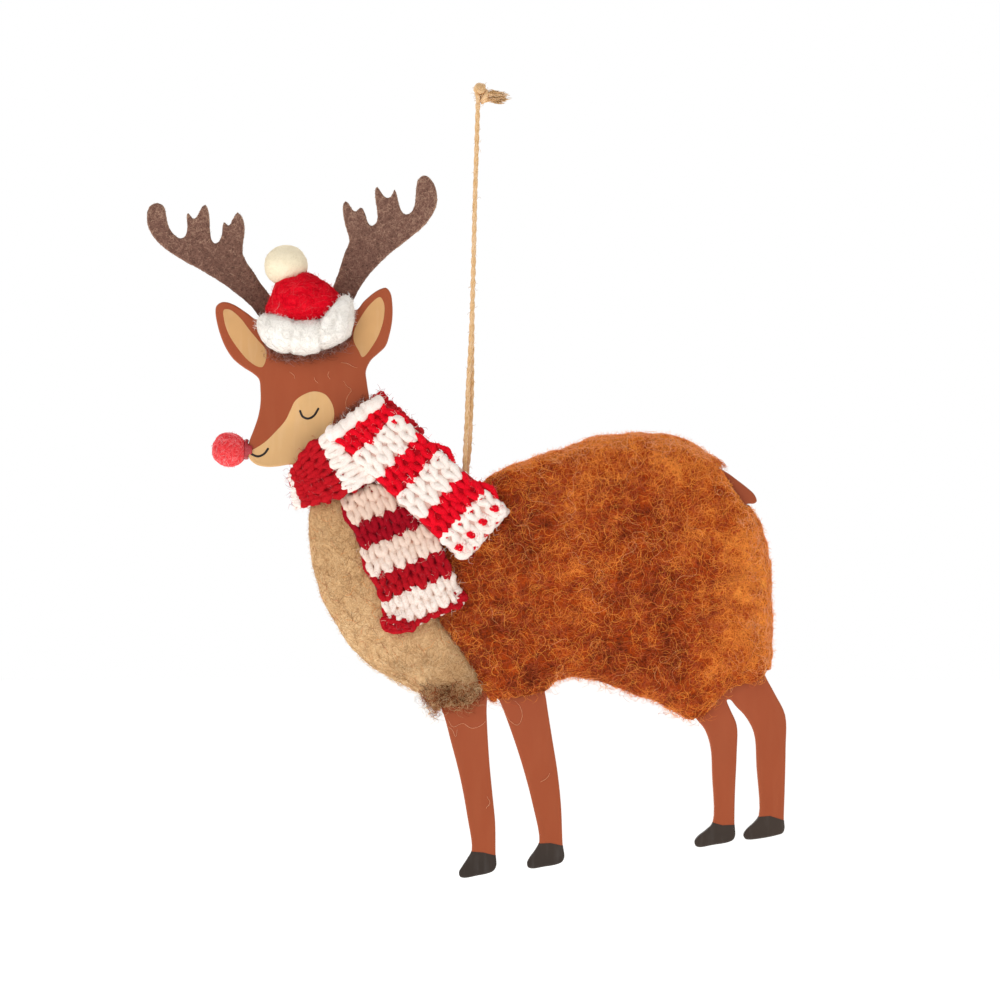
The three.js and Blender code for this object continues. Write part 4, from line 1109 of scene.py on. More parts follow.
class ORNAMENT_OT_twine(bpy.types.Operator):
    """Lays the jute loop: two strands, the turn through the wood and the knot"""
    bl_idname = "ornament.twine"
    bl_label = "Twine"

    def execute(self, context):
        twine = context.scene.ornament.twine
        thick, lay = twine.thickness / MM, twine.lay / MM
        rng = np.random.default_rng(11)
        jute = jute_finish("jute", twine.jute, twine.jute_dark)
        hairs = fibre_finish("jute_hairs", shaded(twine.jute, 0.7), twine.jute, shaded(twine.jute, 1.3))

        def hairs_on(name, line, count, reach, body):
            spots = line[rng.integers(2, len(line) - 2, count)]
            away = unit(rng.normal(size=(count, 3)))
            paths = standing_fibres(spots + away * thick * 0.4, away, reach, steps=6, lean=1.6, curl=0.25, rng=rng)
            return fibre_pieces(name, paths, 0.04, rng.random(count), hairs, body, "twine")[0]

        through = np.array([(HOLE[0], y, HOLE[1]) for y in np.linspace(-1.8, 1.8, 13)])
        bight = new_piece("bight", jute, *laid_plies(through, thick, lay)[:3])
        placed(bight, "bight", "twine", "twine_bight")
        knot_lines = [smooth_line(turns, 10) for turns in (KNOT_TURNS, KNOT_TURNS_REAR)]
        cores = [lumpy_ball(*core, seed) for seed, core in enumerate(KNOT_CORES)]
        wound = together([laid_plies(line, thick * 1.05, lay) for line in knot_lines] + cores)
        knot = placed(new_piece("knot", jute, *wound[:3]), "knot", "twine", "twine_knot")
        frays = []
        for line in knot_lines:
            ahead = np.repeat(unit(line[-1:] - line[-6:-5]), FRAYED_FIBRES, axis=0)
            spots = line[-1] + rng.normal(0, 0.34, ahead.shape) - ahead * rng.uniform(0.3, 2.6, (FRAYED_FIBRES, 1))
            frays.append(standing_fibres(spots, ahead, reach=1.8, steps=6, lean=0.14, curl=0.04, rng=rng))
        frays = np.concatenate(frays)
        fray = fibre_pieces("knot_fray", frays, 0.07, rng.random(len(frays)), hairs, "knot", "twine")[0]
        knot_hairs = hairs_on("knot_hairs", np.vstack([line[:-30] for line in knot_lines]), 70, 1.1, "knot")
        for name, side in (("front", -1), ("rear", 1)):
            line = strand_line(side)
            strand = new_piece(f"{name}_strand", jute, *laid_plies(line, thick, lay)[:3])
            placed(strand, "strands", "twine", f"twine_{name}_strand")
            fluff = hairs_on(f"{name}_strand_hairs", line, 110, 0.9, "strands")
        return {"FINISHED"}


class ORNAMENT_OT_board(bpy.types.Operator):
    """Cuts the wooden reindeer and paints its face, ears and hooves"""
    bl_idname = "ornament.board"
    bl_label = "Painted board"

    def execute(self, context):
        board = context.scene.ornament.board
        half, rounding = board.thickness / MM / 2, board.rounding / MM
        outline = smooth_line(BOARD, 5, closed=True)
        bore = mesh_of("bore", *prisms([circle(HOLE, HOLE_DIAMETER / 2, HOLE_SIDES)], -PAST_BOARD, PAST_BOARD))
        wood = carved("painted_board", mesh_of("wood", *slab(outline, half, rounding)), bore, "DIFFERENCE")
        rim = [min(1, (half - abs(v.co.y) / MM) / rounding) for v in wood.vertices]
        wood.attributes.new("rim", "FLOAT", "POINT").data.foreach_set("value", rim)
        finish = paint_finish("body_paint", board.paint, board.worn_and_highlit)
        placed(add_object("painted_board", wood, finish), "reindeer", "painted_wood", "wooden_silhouette")
        cream = [smooth_line(shape, 5, closed=True) for shape in CREAM_PAINT]
        face = film_finish("face", board.cream, shaded(board.cream, 0.78), -72, -84)
        # The ears take the darker cream, which is painted shade
        ears = film_finish("ears", board.ear, shaded(board.ear, 0.8), -52, -64)
        hoof = film_finish("hoof", board.hoof, shaded(board.hoof, 0.6), -164, -176, 0.08)
        films = (
            ("face_paint", cream[:1], 0.7, 0.05, face),
            ("ear_paint", cream[1:], 0.7, 0.05, ears),
            ("hoof_paint", HOOF_PAINT, PAST_BOARD, 0.06, hoof),
        )
        for name, shapes, back, thick, finish in films:
            layer = mesh_of(name, *slab(outline, half, rounding, thick))
            film = carved(name, layer, mesh_of("shape", *prisms(shapes, -PAST_BOARD, back)), "INTERSECT")
            placed(add_object(name, film, finish), "reindeer", "painted_wood")
        ink = film_finish("ink", board.line, shaded(board.line, 0.5), -68, -82)
        for name, shape in (("eye_line", EYE), ("mouth_line", MOUTH)):
            line = even_line(smooth_line(np.insert(np.array(shape), 1, -half - INK, axis=1), 8), 40)
            points, faces, maps, _ = tubes(line[None], board.line_width / MM / 2, 10)
            points[:, 1] = -half - INK + (points[:, 1] + half + INK) * 0.35
            placed(new_piece(name, ink, points, faces, maps), "reindeer", "painted_wood")
        wool = context.scene.ornament.wool
        lines = [smooth_line(np.insert(np.array(line), 1, -half - 0.12, axis=1), 6) for line in LOOSE_FIBRES]
        lines = np.stack([even_line(line, 24) for line in lines])
        lint = fibre_finish("lint", wool.stray, shaded(wool.stray, 1.2), shaded(wool.stray, 1.4))
        fibre_pieces("lint", lines, 0.042, np.full(len(lines), 0.5), lint, "reindeer", "brown_wool")
        return {"FINISHED"}


def coat_tone(points, normals):
    """How bright the coat is at each point, from 0 to 1: blotched, with a painted highlight on its rim above and
    behind, where backlight glows through.
    """
    tone = 0.46 + 0.15 * bumps(points, 8, 3) + 0.33 * bumps(points, 2.6, 4)
    for x, z, wide, amount in COAT_PATCHES:
        tone = tone + amount * np.exp(-((points[:, 0] - x) ** 2 + (points[:, 2] - z) ** 2) / wide ** 2)
    # lit and the rim term paint that highlight where the skin turns up, towards the rump and sideways
    lit = np.clip(0.25 + 0.6 * normals[:, 2] + 0.55 * normals[:, 0], 0, 1)
    return np.clip(tone + 1.3 * lit * (1 - normals[:, 1] ** 2) ** 1.5, 0, 1)


def chest_tone(points, normals):
    """How bright the chest is: even, with painted shade under the scarf at the top and where it meets the front leg,
    and a painted highlight where it turns to the side.
    """
    tone = 0.5 + 0.18 * bumps(points, 6, 5) + 0.16 * bumps(points, 1.6, 6)
    tone = tone - 0.16 * np.clip((points[:, 2] + 118) / 16, 0, 1)
    shade = np.exp(-((points[:, 0] + 5) ** 2 + (points[:, 2] + 135) ** 2) / 14)
    return np.clip(tone - 0.45 * shade + 0.2 * (1 - np.abs(normals[:, 1])), 0, 1)


def antler_tone(points, normals):
    """How bright the antlers are: dark at the roots, pale at the tips and along the cut edges."""
    rise = np.clip((points[:, 2] + 50) / 24, 0, 1)
    grain = 0.2 * bumps(points, 1.5, 7) + 0.3 * bumps(points, 0.5, 8)
    return np.clip(0.2 + 0.36 * rise + 0.45 * rise * (1 - np.abs(normals[:, 1])) + grain, 0, 1)


def even_tone(points, _):
    return np.clip(0.5 + 0.2 * bumps(points, 5, 5) + 0.2 * bumps(points, 1.5, 6), 0, 1)


# How near the coat and the chest their fibres mix, where the tail leaves the coat, and how a loose fringe hangs
SEAM_WIDTH = 2.2
TAIL_ROOT = (54, -82.2)
FRINGE = {"lean": 0.8, "curl": 0.5, "steps": 9}


class Wool:
    """A skin of wool over a soft CAD solid, and the places where its fibres start."""

    def __init__(
        self, name, node, cell, lumps, finish, slot, rng, tone=even_tone, shape=None, clear=0.0, ease=4, swell=0.2
    ):
        points, normals, self.faces = skin_of(node, cell, ease, swell)
        for i, (size, height) in enumerate(lumps):
            points = points + normals * (height * bumps(points, size, 20 + i))[:, None]
        if shape:
            points = shape(points, normals)
        self.points, self.tone = points, tone
        self.name, self.slot, self.rng = name, slot, rng
        placed(new_piece(name, finish, points, self.faces, tone=tone(points, normals)), "reindeer", slot, node)
        self.surface = surface_of(points, self.faces)
        corners = points[self.faces]
        self.middles = corners.mean(axis=1)
        self.facing = unit(np.cross(corners[:, 1] - corners[:, 0], corners[:, 2] - corners[:, 0]))
        board = node_surface("wooden_silhouette")
        self.outer = clear_of(self.middles, board, clear) if clear else np.ones(len(corners), bool)

    def spots(self, count, keep=True):
        return scatter(self.points, self.faces, count, self.rng, self.outer & keep)

    def fibres(self, name, paths, radius, tones, finish):
        tones = np.clip(tones, 0, 1)
        return fibre_pieces(f"{self.name}_{name}", paths, radius, tones, finish, "reindeer", self.slot)

    def mat(self, name, count, radius, finish, reach, steps, curl, lift, keep=True, bright=0.0, over=None):
        """Fibres that lie on the skin, or on a wider surface that takes it in."""
        spots, normals = self.spots(count, keep)
        paths = lying_fibres(over or self.surface, spots, normals, reach, steps, curl, lift, self.rng)
        tones = 0.6 * self.tone(spots, normals) + 0.85 * self.rng.random(count) - 0.23 + bright
        return self.fibres(name, paths, radius, tones, finish)

    def fuzz(self, name, count, radius, finish, reach, lean=1.2, curl=0.2, keep=True, bright=0.1, steps=6):
        """Fibres that stand out of the skin."""
        spots, normals = self.spots(count, keep)
        paths = standing_fibres(spots, normals, reach, steps, lean, curl, self.rng)
        tones = 0.5 * self.tone(spots, normals) + 0.6 * self.rng.random(count) + bright
        return self.fibres(name, paths, radius, tones, finish)

    def combed(self, name, slot, count, radius, finish, keep, part, heading, least=0.0, **way):
        """Fibres that leave the skin in one heading and part of its normal; least is the darkest one's tone."""
        spots, normals = self.spots(count, keep)
        paths = standing_fibres(spots, unit(part * normals + np.array(heading)), rng=self.rng, **way)
        tones = least + (1 - least) * self.rng.random(count)
        return fibre_pieces(name, paths, radius, tones, finish, "reindeer", slot)


def lay_coat(coat, chest, both, wool, hair):
    """The fibres of the coat. both is the surface of the coat and the chest together."""
    radius, count = wool.thickness / MM / 2, wool.coat_fibres
    front, edge = coat.facing[:, 1] < 0.25, np.abs(coat.facing[:, 1]) < 0.55
    under = (coat.facing[:, 2] < -0.4) & (coat.middles[:, 2] < -126)
    seam = ~clear_of(coat.middles, chest.surface, SEAM_WIDTH)
    # Faces that turn up and towards the rump, where brighter fibres paint the glow of the backlit rim
    lit = (np.abs(coat.facing[:, 1]) < 0.85) & (coat.facing[:, 0] + coat.facing[:, 2] > 0.25)
    felted = {"steps": 11, "curl": 0.12, "lift": 0.5, "bright": 0.14}
    coat.mat("front", round(count * 0.7), radius, hair["coat"], reach=6, keep=front, **felted)
    coat.mat("back", round(count * 0.3), radius, hair["coat"], reach=6.5, keep=~front, **felted)
    coat.mat(
        "seam", 420, radius, hair["coat"],
        reach=5, steps=11, curl=0.1, lift=0.8, keep=seam, bright=0.1, over=both,
    )
    coat.mat("strays", 260, radius * 0.85, hair["stray"], reach=9, steps=20, curl=0.11, lift=1.1)
    coat.mat(
        "rim_mat", 1500, radius * 0.9, hair["rim"],
        reach=4.5, steps=9, curl=0.12, lift=0.6, keep=lit, bright=0.2,
    )
    # The rim's fuzz is in the glow colours too: a painted highlight
    coat.fuzz("rim", 2700, radius * 0.7, hair["rim"], reach=1.1, keep=edge, bright=0.15, steps=5)
    tail_x, tail_z = TAIL_ROOT
    root = np.hypot(coat.middles[:, 0] - tail_x, coat.middles[:, 2] - tail_z) < 3
    # The fibres at the tail's root are kept bright, a painted glow like the rest of the rim
    coat.combed(
        "coat_at_the_tail", "brown_wool", 420, radius, hair["coat"], keep=root, part=0.2, heading=(0.64, 0, -0.77),
        least=0.6, reach=2.2, steps=9, lean=0.25, curl=0.15,
    )
    coat.fuzz("fringe", 420, radius * 0.8, hair["coat"], reach=2, keep=under, bright=0.2, **FRINGE)


def lay_chest(chest, coat, both, wool, hair):
    """The fibres of the chest, with some of the coat's and the neck's among them."""
    radius, count = wool.thickness / MM / 2, wool.chest_fibres
    front, edge = chest.facing[:, 1] < 0.25, np.abs(chest.facing[:, 1]) < 0.55
    low = chest.middles[:, 2] < -125
    foot = (chest.middles[:, 2] < -131) & (chest.middles[:, 0] > -12)
    seam = ~clear_of(chest.middles, coat.surface, SEAM_WIDTH)
    felted = {"reach": 4.2, "steps": 8, "curl": 0.1, "lift": 0.3}
    chest.mat("front", round(count * 0.65), radius * 0.7, hair["chest"], keep=front, bright=0.06, **felted)
    chest.mat("back", round(count * 0.35), radius * 0.7, hair["chest"], keep=~front, **felted)
    chest.mat(
        "seam", 300, radius * 0.8, hair["chest"],
        reach=5, steps=11, curl=0.1, lift=0.9, keep=seam, bright=0.1, over=both,
    )
    chest.mat(
        "curls", 380, radius * 0.8, hair["chest"],
        reach=7, steps=14, curl=0.11, lift=1.2, keep=low, bright=0.22,
    )
    chest.mat(
        "shade", 150, radius * 0.9, hair["neck"],
        reach=5, steps=12, curl=0.12, lift=1, keep=foot, bright=0.1,
    )
    chest.mat("flecks", 170, radius * 0.6, hair["coat"], reach=3.5, steps=9, curl=0.12, lift=0.4, keep=front)
    # The chest's rim fuzz is brighter: a painted highlight on its edge
    chest.fuzz("rim", 900, radius * 0.6, hair["chest"], reach=0.9, keep=edge, bright=0.2)
    chest.fuzz("fringe", 120, radius * 0.8, hair["chest"], reach=2.6, keep=foot, bright=0.2, **FRINGE)
    hem = foot & (chest.facing[:, 2] < 0) & (chest.facing[:, 1] < 0.3)
    umber = fibre_finish("hem_fibres", wool.dark, shaded(wool.coat, 0.55), wool.chest)
    chest.combed(
        "chest_hem", "dark_wool", 360, radius * 0.8, umber, keep=hem, part=0.5, heading=(0.1, -0.1, -1),
        reach=2.6, steps=10, lean=0.8, curl=0.4,
    )


def lay_neck(neck, half, wool, hair):
    """The fibres of the neck, and its fringe on the painted face of the wood, which is half a thickness out."""
    radius = wool.thickness / MM / 2
    neck.mat("mat", 320, radius * 0.8, hair["neck"], reach=4, steps=9, curl=0.07, lift=0.5)
    neck.fuzz("fuzz", 380, radius * 0.7, hair["neck"], reach=1.3)
    line = even_line(np.insert(np.array(NECK_LINE, float), 1, -half, axis=1), 260)
    line = line + neck.rng.normal(0, 0.35, line.shape) * (1, 0, 1)
    up = np.tile(unit(np.array((-0.5, -0.3, 0.7))), (len(line), 1))
    paths = standing_fibres(line, up, reach=1.4, steps=9, lean=1.2, curl=0.5, rng=neck.rng)
    tones = neck.rng.random(len(paths)) ** 1.5
    fringe = fibre_finish("neck_fringe", shaded(wool.tuft, 0.5), wool.tuft, shaded(wool.tuft, 1.5))
    fibre_pieces("neck_fringe", paths, radius * 0.55, tones, fringe, "reindeer", "dark_wool")


class ORNAMENT_OT_coat(bpy.types.Operator):
    """Felts the wool of the body, the chest and the neck"""
    bl_idname = "ornament.coat"
    bl_label = "Coat"

    def execute(self, context):
        wool = context.scene.ornament.wool
        rng = np.random.default_rng(23)
        hair = {}
        # The skin is the coat's wool darkened, painted shade under its fibres, and the fibres' wool a little lighter
        rust = wool_finish("coat_wool", wool.coat_dark, shaded(wool.coat, 0.74), wool.coat_light, 0.7, sheen=0.35)
        hair["coat"] = fibre_finish("coat_fibres", wool.coat_dark, shaded(wool.coat, 1.04), wool.coat_light)
        # The rim's fibres are lighter copies of the coat's: a painted glow of backlight
        hair["rim"] = fibre_finish("coat_rim_fibres", wool.coat, wool.coat_light, shaded(wool.coat_light, 1.2))
        hair["stray"] = fibre_finish("stray_fibres", wool.coat_light, wool.stray, shaded(wool.stray, 1.1))
        coat = Wool(
            "coat", "body_wool", 0.6, [(7, 0.5), (2.6, 0.36)], rust, "brown_wool", rng, coat_tone,
            clear=0.8, ease=10, swell=0.45,
        )
        beiges = wool.chest_dark, wool.chest, wool.chest_light
        beige = wool_finish("chest_wool", *beiges, 0.5, depth=0.15, sheen=0.1)
        hair["chest"] = fibre_finish("chest_fibres", *beiges)
        chest = Wool(
            "chest", "chest_wool", 0.5, [(6, 0.25), (1.8, 0.1)], beige, "cream_wool", rng, chest_tone,
            clear=0.8, ease=8, swell=0.4,
        )
        brown = wool_finish("neck_wool", shaded(wool.dark, 0.5), wool.dark, shaded(wool.dark, 1.15), 0.6, depth=0.2)
        hair["neck"] = fibre_finish("neck_fibres", shaded(wool.dark, 0.5), wool.dark, wool.coat)
        neck = Wool("neck", "neck_wool", 0.5, [(4, 0.2)], brown, "dark_wool", rng, clear=0.5)
        both_faces = np.vstack([coat.faces, chest.faces + len(coat.points)])
        both = surface_of(np.vstack([coat.points, chest.points]), both_faces)
        lay_coat(coat, chest, both, wool, hair)
        lay_chest(chest, coat, both, wool, hair)
        lay_neck(neck, context.scene.ornament.board.thickness / MM / 2, wool, hair)
        return {"FINISHED"}


class ORNAMENT_OT_antlers(bpy.types.Operator):
    """Cuts both antlers from thick felt"""
    bl_idname = "ornament.antlers"
    bl_label = "Antlers"

    def execute(self, context):
        felt = context.scene.ornament.felt
        rng = np.random.default_rng(31)
        browns = shaded(felt.antler, 0.4), felt.antler, felt.antler_light
        skin = wool_finish("antler_felt", *browns, 0.4, depth=0.1, sheen=0.1)
        hair = fibre_finish("antler_fibres", *browns)
        for side in ("left", "right"):
            antler = Wool(
                f"{side}_antler_felt", f"{side}_antler", 0.3, [(2.5, 0.08), (0.8, 0.06)], skin, "antler_felt", rng,
                antler_tone, ease=2, swell=0.06,
            )
            antler.mat("flecks", 800, 0.035, hair, reach=1.5, steps=6, curl=0.1, lift=0.14, bright=0.15)
            antler.fuzz("nap", 1000, 0.028, hair, reach=0.4, bright=0.1, steps=4)
        return {"FINISHED"}


def creased(points, normals):
    """The trim of the hat pinched in a little between its tufts."""
    pinch = np.zeros(len(points))
    for x, tilt, depth in ((-41.4, 0.12, 0.45), (-35, -0.1, 0.5)):
        aside = points[:, 0] - x - tilt * (points[:, 2] + 53)
        pinch += depth * np.exp(-((aside / 0.5) ** 2))
    return points - normals * (pinch * (points[:, 1] < -3.8))[:, None]


def tucked(points, _):
    """The tuft with its lower half pushed up under the trim."""
    low = np.minimum(points[:, 2] + 53.5, 0)
    return np.stack([points[:, 0], points[:, 1], points[:, 2] - 0.34 * low], 1)


def settled(points, _):
    """The ball of the hat, a little flattened."""
    middle = points[:, 2].mean()
    return np.stack([points[:, 0], points[:, 1], middle - 0.2 + 0.94 * (points[:, 2] - middle)], 1)


class ORNAMENT_OT_hat(bpy.types.Operator):
    """Felts the hat, its trim and its ball, and the tuft of wool under it"""
    bl_idname = "ornament.hat"
    bl_label = "Hat"

    def execute(self, context):
        felt, wool = context.scene.ornament.felt, context.scene.ornament.wool
        rng = np.random.default_rng(47)
        deep = shaded(felt.hat, 0.62)
        red = wool_finish("hat_felt", deep, felt.hat, shaded(felt.hat, 1.04), 0.5, depth=0.15, sheen=0.1)
        red_hair = fibre_finish("hat_fibres", deep, felt.hat, shaded(felt.hat, 1.08))
        pink = fibre_finish("hat_strays", felt.hat, shaded(felt.hat, 1.5), shaded(felt.hat, 1.9))
        cone = Wool("hat_wool", "hat_cone", 0.32, [(3, 0.22), (1.1, 0.1)], red, "hat_felt", rng, ease=5, swell=0.4)
        cone.mat("mat", 560, 0.045, red_hair, reach=3.2, steps=8, curl=0.09, lift=0.28)
        cone.mat("strays", 7, 0.03, pink, reach=6, steps=14, curl=0.07, lift=0.6)
        cone.fuzz("fuzz", 800, 0.035, red_hair, reach=0.8)
        grey = shaded(felt.trim, 0.8)
        white = wool_finish("trim_wool", grey, felt.trim, shaded(felt.trim, 1.5), 0.6, depth=0.15, sheen=0.1)
        white_hair = fibre_finish("trim_fibres", grey, felt.trim, shaded(felt.trim, 2))
        trim = Wool("trim", "hat_trim", 0.3, [(2.8, 0.22), (1, 0.1)], white, "trim_wool", rng, shape=creased, ease=5)
        trim.mat("mat", 520, 0.045, white_hair, reach=3.4, steps=8, curl=0.08, lift=0.4)
        trim.fuzz("fuzz", 900, 0.03, white_hair, reach=1.1, keep=trim.facing[:, 2] > -0.15, bright=0.2)
        creams = shaded(felt.pompom, 0.85), felt.pompom, shaded(felt.pompom, 1.3)
        ivory = wool_finish("ball_felt", *creams, 0.5, depth=0.06)
        ivory_hair = fibre_finish("ball_fibres", *creams)
        ball = Wool("hat_ball", "hat_pompom", 0.3, [(3, 0.12), (0.9, 0.05)], ivory, "pompom_felt", rng, shape=settled)
        ball.mat("mat", 260, 0.03, ivory_hair, reach=3, steps=8, curl=0.05, lift=0.1)
        ball.fuzz("nap", 260, 0.025, ivory_hair, reach=0.4, steps=4)
        brown = wool_finish("tuft_wool", shaded(wool.tuft, 0.3), shaded(wool.tuft, 0.6), wool.tuft, 0.5, depth=0.2)
        brown_hair = fibre_finish("tuft_fibres", shaded(wool.tuft, 0.35), wool.tuft, shaded(wool.tuft, 1.3))
        tuft = Wool(
            "tuft", "forelock_wool", 0.4, [(2.5, 0.3), (1, 0.15)], brown, "dark_wool", rng,
            shape=tucked, ease=3, swell=-0.5,
        )
        seen = (tuft.facing[:, 1] < 0.4) & (tuft.middles[:, 2] < -53.5) & (np.abs(tuft.middles[:, 0] + 37.5) < 8.5)
        tuft.mat(
            "curls", 260, 0.042, brown_hair, reach=3.8, steps=12, curl=0.2, lift=1.3, keep=seen, bright=0.05
        )
        tuft.combed(
            "tuft_wisps", "dark_wool", 760, 0.038, brown_hair, keep=seen, part=0.4, heading=(-0.1, -0.25, -1),
            reach=2.3, steps=10, lean=1.0, curl=0.5,
        )
        return {"FINISHED"}


class ORNAMENT_OT_nose(bpy.types.Operator):
    """Felts the ball of the nose and its glued neck"""
    bl_idname = "ornament.nose"
    bl_label = "Nose"

    def execute(self, context):
        felt = context.scene.ornament.felt
        rng = np.random.default_rng(53)
        deep, pale = shaded(felt.nose, 0.6), shaded(felt.nose, 1.5)
        skin = wool_finish("nose_felt", deep, felt.nose, pale, 0.8, depth=0.12)
        hair = fibre_finish("nose_fibres", felt.nose, shaded(felt.nose, 1.2), shaded(felt.nose, 1.7))
        ball = Wool("nose", "nose_ball", 0.28, [(2.4, 0.16), (0.8, 0.06)], skin, "nose_felt", rng)
        ball.mat("web", 190, 0.045, hair, reach=4.5, steps=14, curl=0.05, lift=0.12, bright=0.15)
        ball.fuzz("nap", 260, 0.025, hair, reach=0.5, steps=5)
        glue, tree, shader = new_finish("dried_glue", 0.35, 0.1, 0.5)
        runs = place_group(tree, tangled_fibres(), Scale=1500.0)
        paint_with(tree, shader, mixed(tree, runs["Grain"], shaded(felt.glue, 0.5), felt.glue))
        raise_up(tree, shader, runs["Grain"], 0.5, 0.15)
        Wool("nose_neck", "nose_glue", 0.16, [(1.2, 0.2)], glue, "glue", rng, ease=12, swell=0.15)
        return {"FINISHED"}


# Stripes of the scarf, row by row, red and white: tails from the free end, the loop from the throat
UPPER_STRIPES = "WWRRWWRRWWRRWWW"
LOWER_STRIPES = "WWRRWWRRWWRRWW"
LOOP_STRIPES = "WRRRRWWRRRRRRRRRWWRRRWWRRRWWRRRWWRRR"
# The two yarns: their words, how uneven their rows are and how far they swell past the set thickness
YARN_WORD = {"R": "red", "W": "white"}
YARN_SLACK = {"R": 1.5, "W": 1.1}
YARN_SWELL = {"R": 1.06, "W": 1.2}
YARN_SIDES, YARN_PLY = 9, (2, 2.6, 0.12)
HAIRS_A_ROW = 100
BACKING_THICKNESS = 0.5
# The lower tail: the height where its shade ends, how far down it clears, and how near its start it has no hairs
SHADE_END, SHADE_FADE, MOST_CLEAR, TUCKED_IN = -97, 14, 0.85, 5
# The upper tail's rolled top edge: how far along it is, its radius and its points
ROLL_PLACE, ROLL_RADIUS, ROLL_POINTS = 4.6, 1.65, 80
RED_END = 2.2  # of the upper tail's backing
FLOAT_ROWS = 2.1  # that a carried yarn spans


def no_trimmings(_strip, _stitches, _pitch, _rng):
    return {"R": [], "W": []}


def lower_trimmings(strip, _stitches, pitch, rng):
    """Yarn besides the rows of the lower tail, by colour: its edge, its heaps and what is carried along its side."""
    end, far = strip.length, strip.width - 0.4
    heaps = (
        (0.9, end - 1.2, 0.3, 2.0, 3.6), (1, end - 1.2, 0.7, 0.9, 2.2),
        (3, end - 0.1, 0.2, 1.4, 2.2), (3, end - 0.2, 0.5, 0.6, 1.6),
        (far, end - 1.4, 0.2, 1.0, 1.8), (far, end - 1.4, 0.5, 0.4, 1.2),
        (8.3, -1.6, -0.2, 1.5, 2.4), (6.4, -1.3, -0.4, 1.3, 2.2),
    )
    red = [edge_cord(strip, end - 0.3, (0.1, 0.95, 6), 0.7, 0.1, rng)]
    red += [tangle(strip, *heap, rng) for heap in heaps]
    for row in (0, 4, 8):
        start = end - pitch * (row + 2.0)
        red.append(float_line(strip, 0, start, start + pitch * FLOAT_ROWS, 0.8))
    return {"R": red, "W": []}


def upper_trimmings(strip, stitches, pitch, rng):
    """Yarn besides the rows of the upper tail, by colour: its edges, its dots and what is carried along its side."""
    end = strip.length
    middles = strip.width * (np.arange(stitches) + 0.5) / stitches
    dots = [tangle(strip, middle, end - 2.1, 0.3, 0.45, 1.4, rng) for middle in middles]
    red = [edge_cord(strip, end + 0.3, (0.05, 0.95, 7), 0.5, -0.85, rng), *dots]
    white = [edge_cord(strip, end - 1.5, (0.02, 0.98, stitches), 1.9, 0.25, rng, 0.6)]
    for row, bulge in ((0, 1.3), (4, 1.5), (8, 0.7)):
        start = end - pitch * (row + 2.8)
        red.append(float_line(strip, 1, start, start + pitch * FLOAT_ROWS, bulge))
    return {"R": red, "W": white}


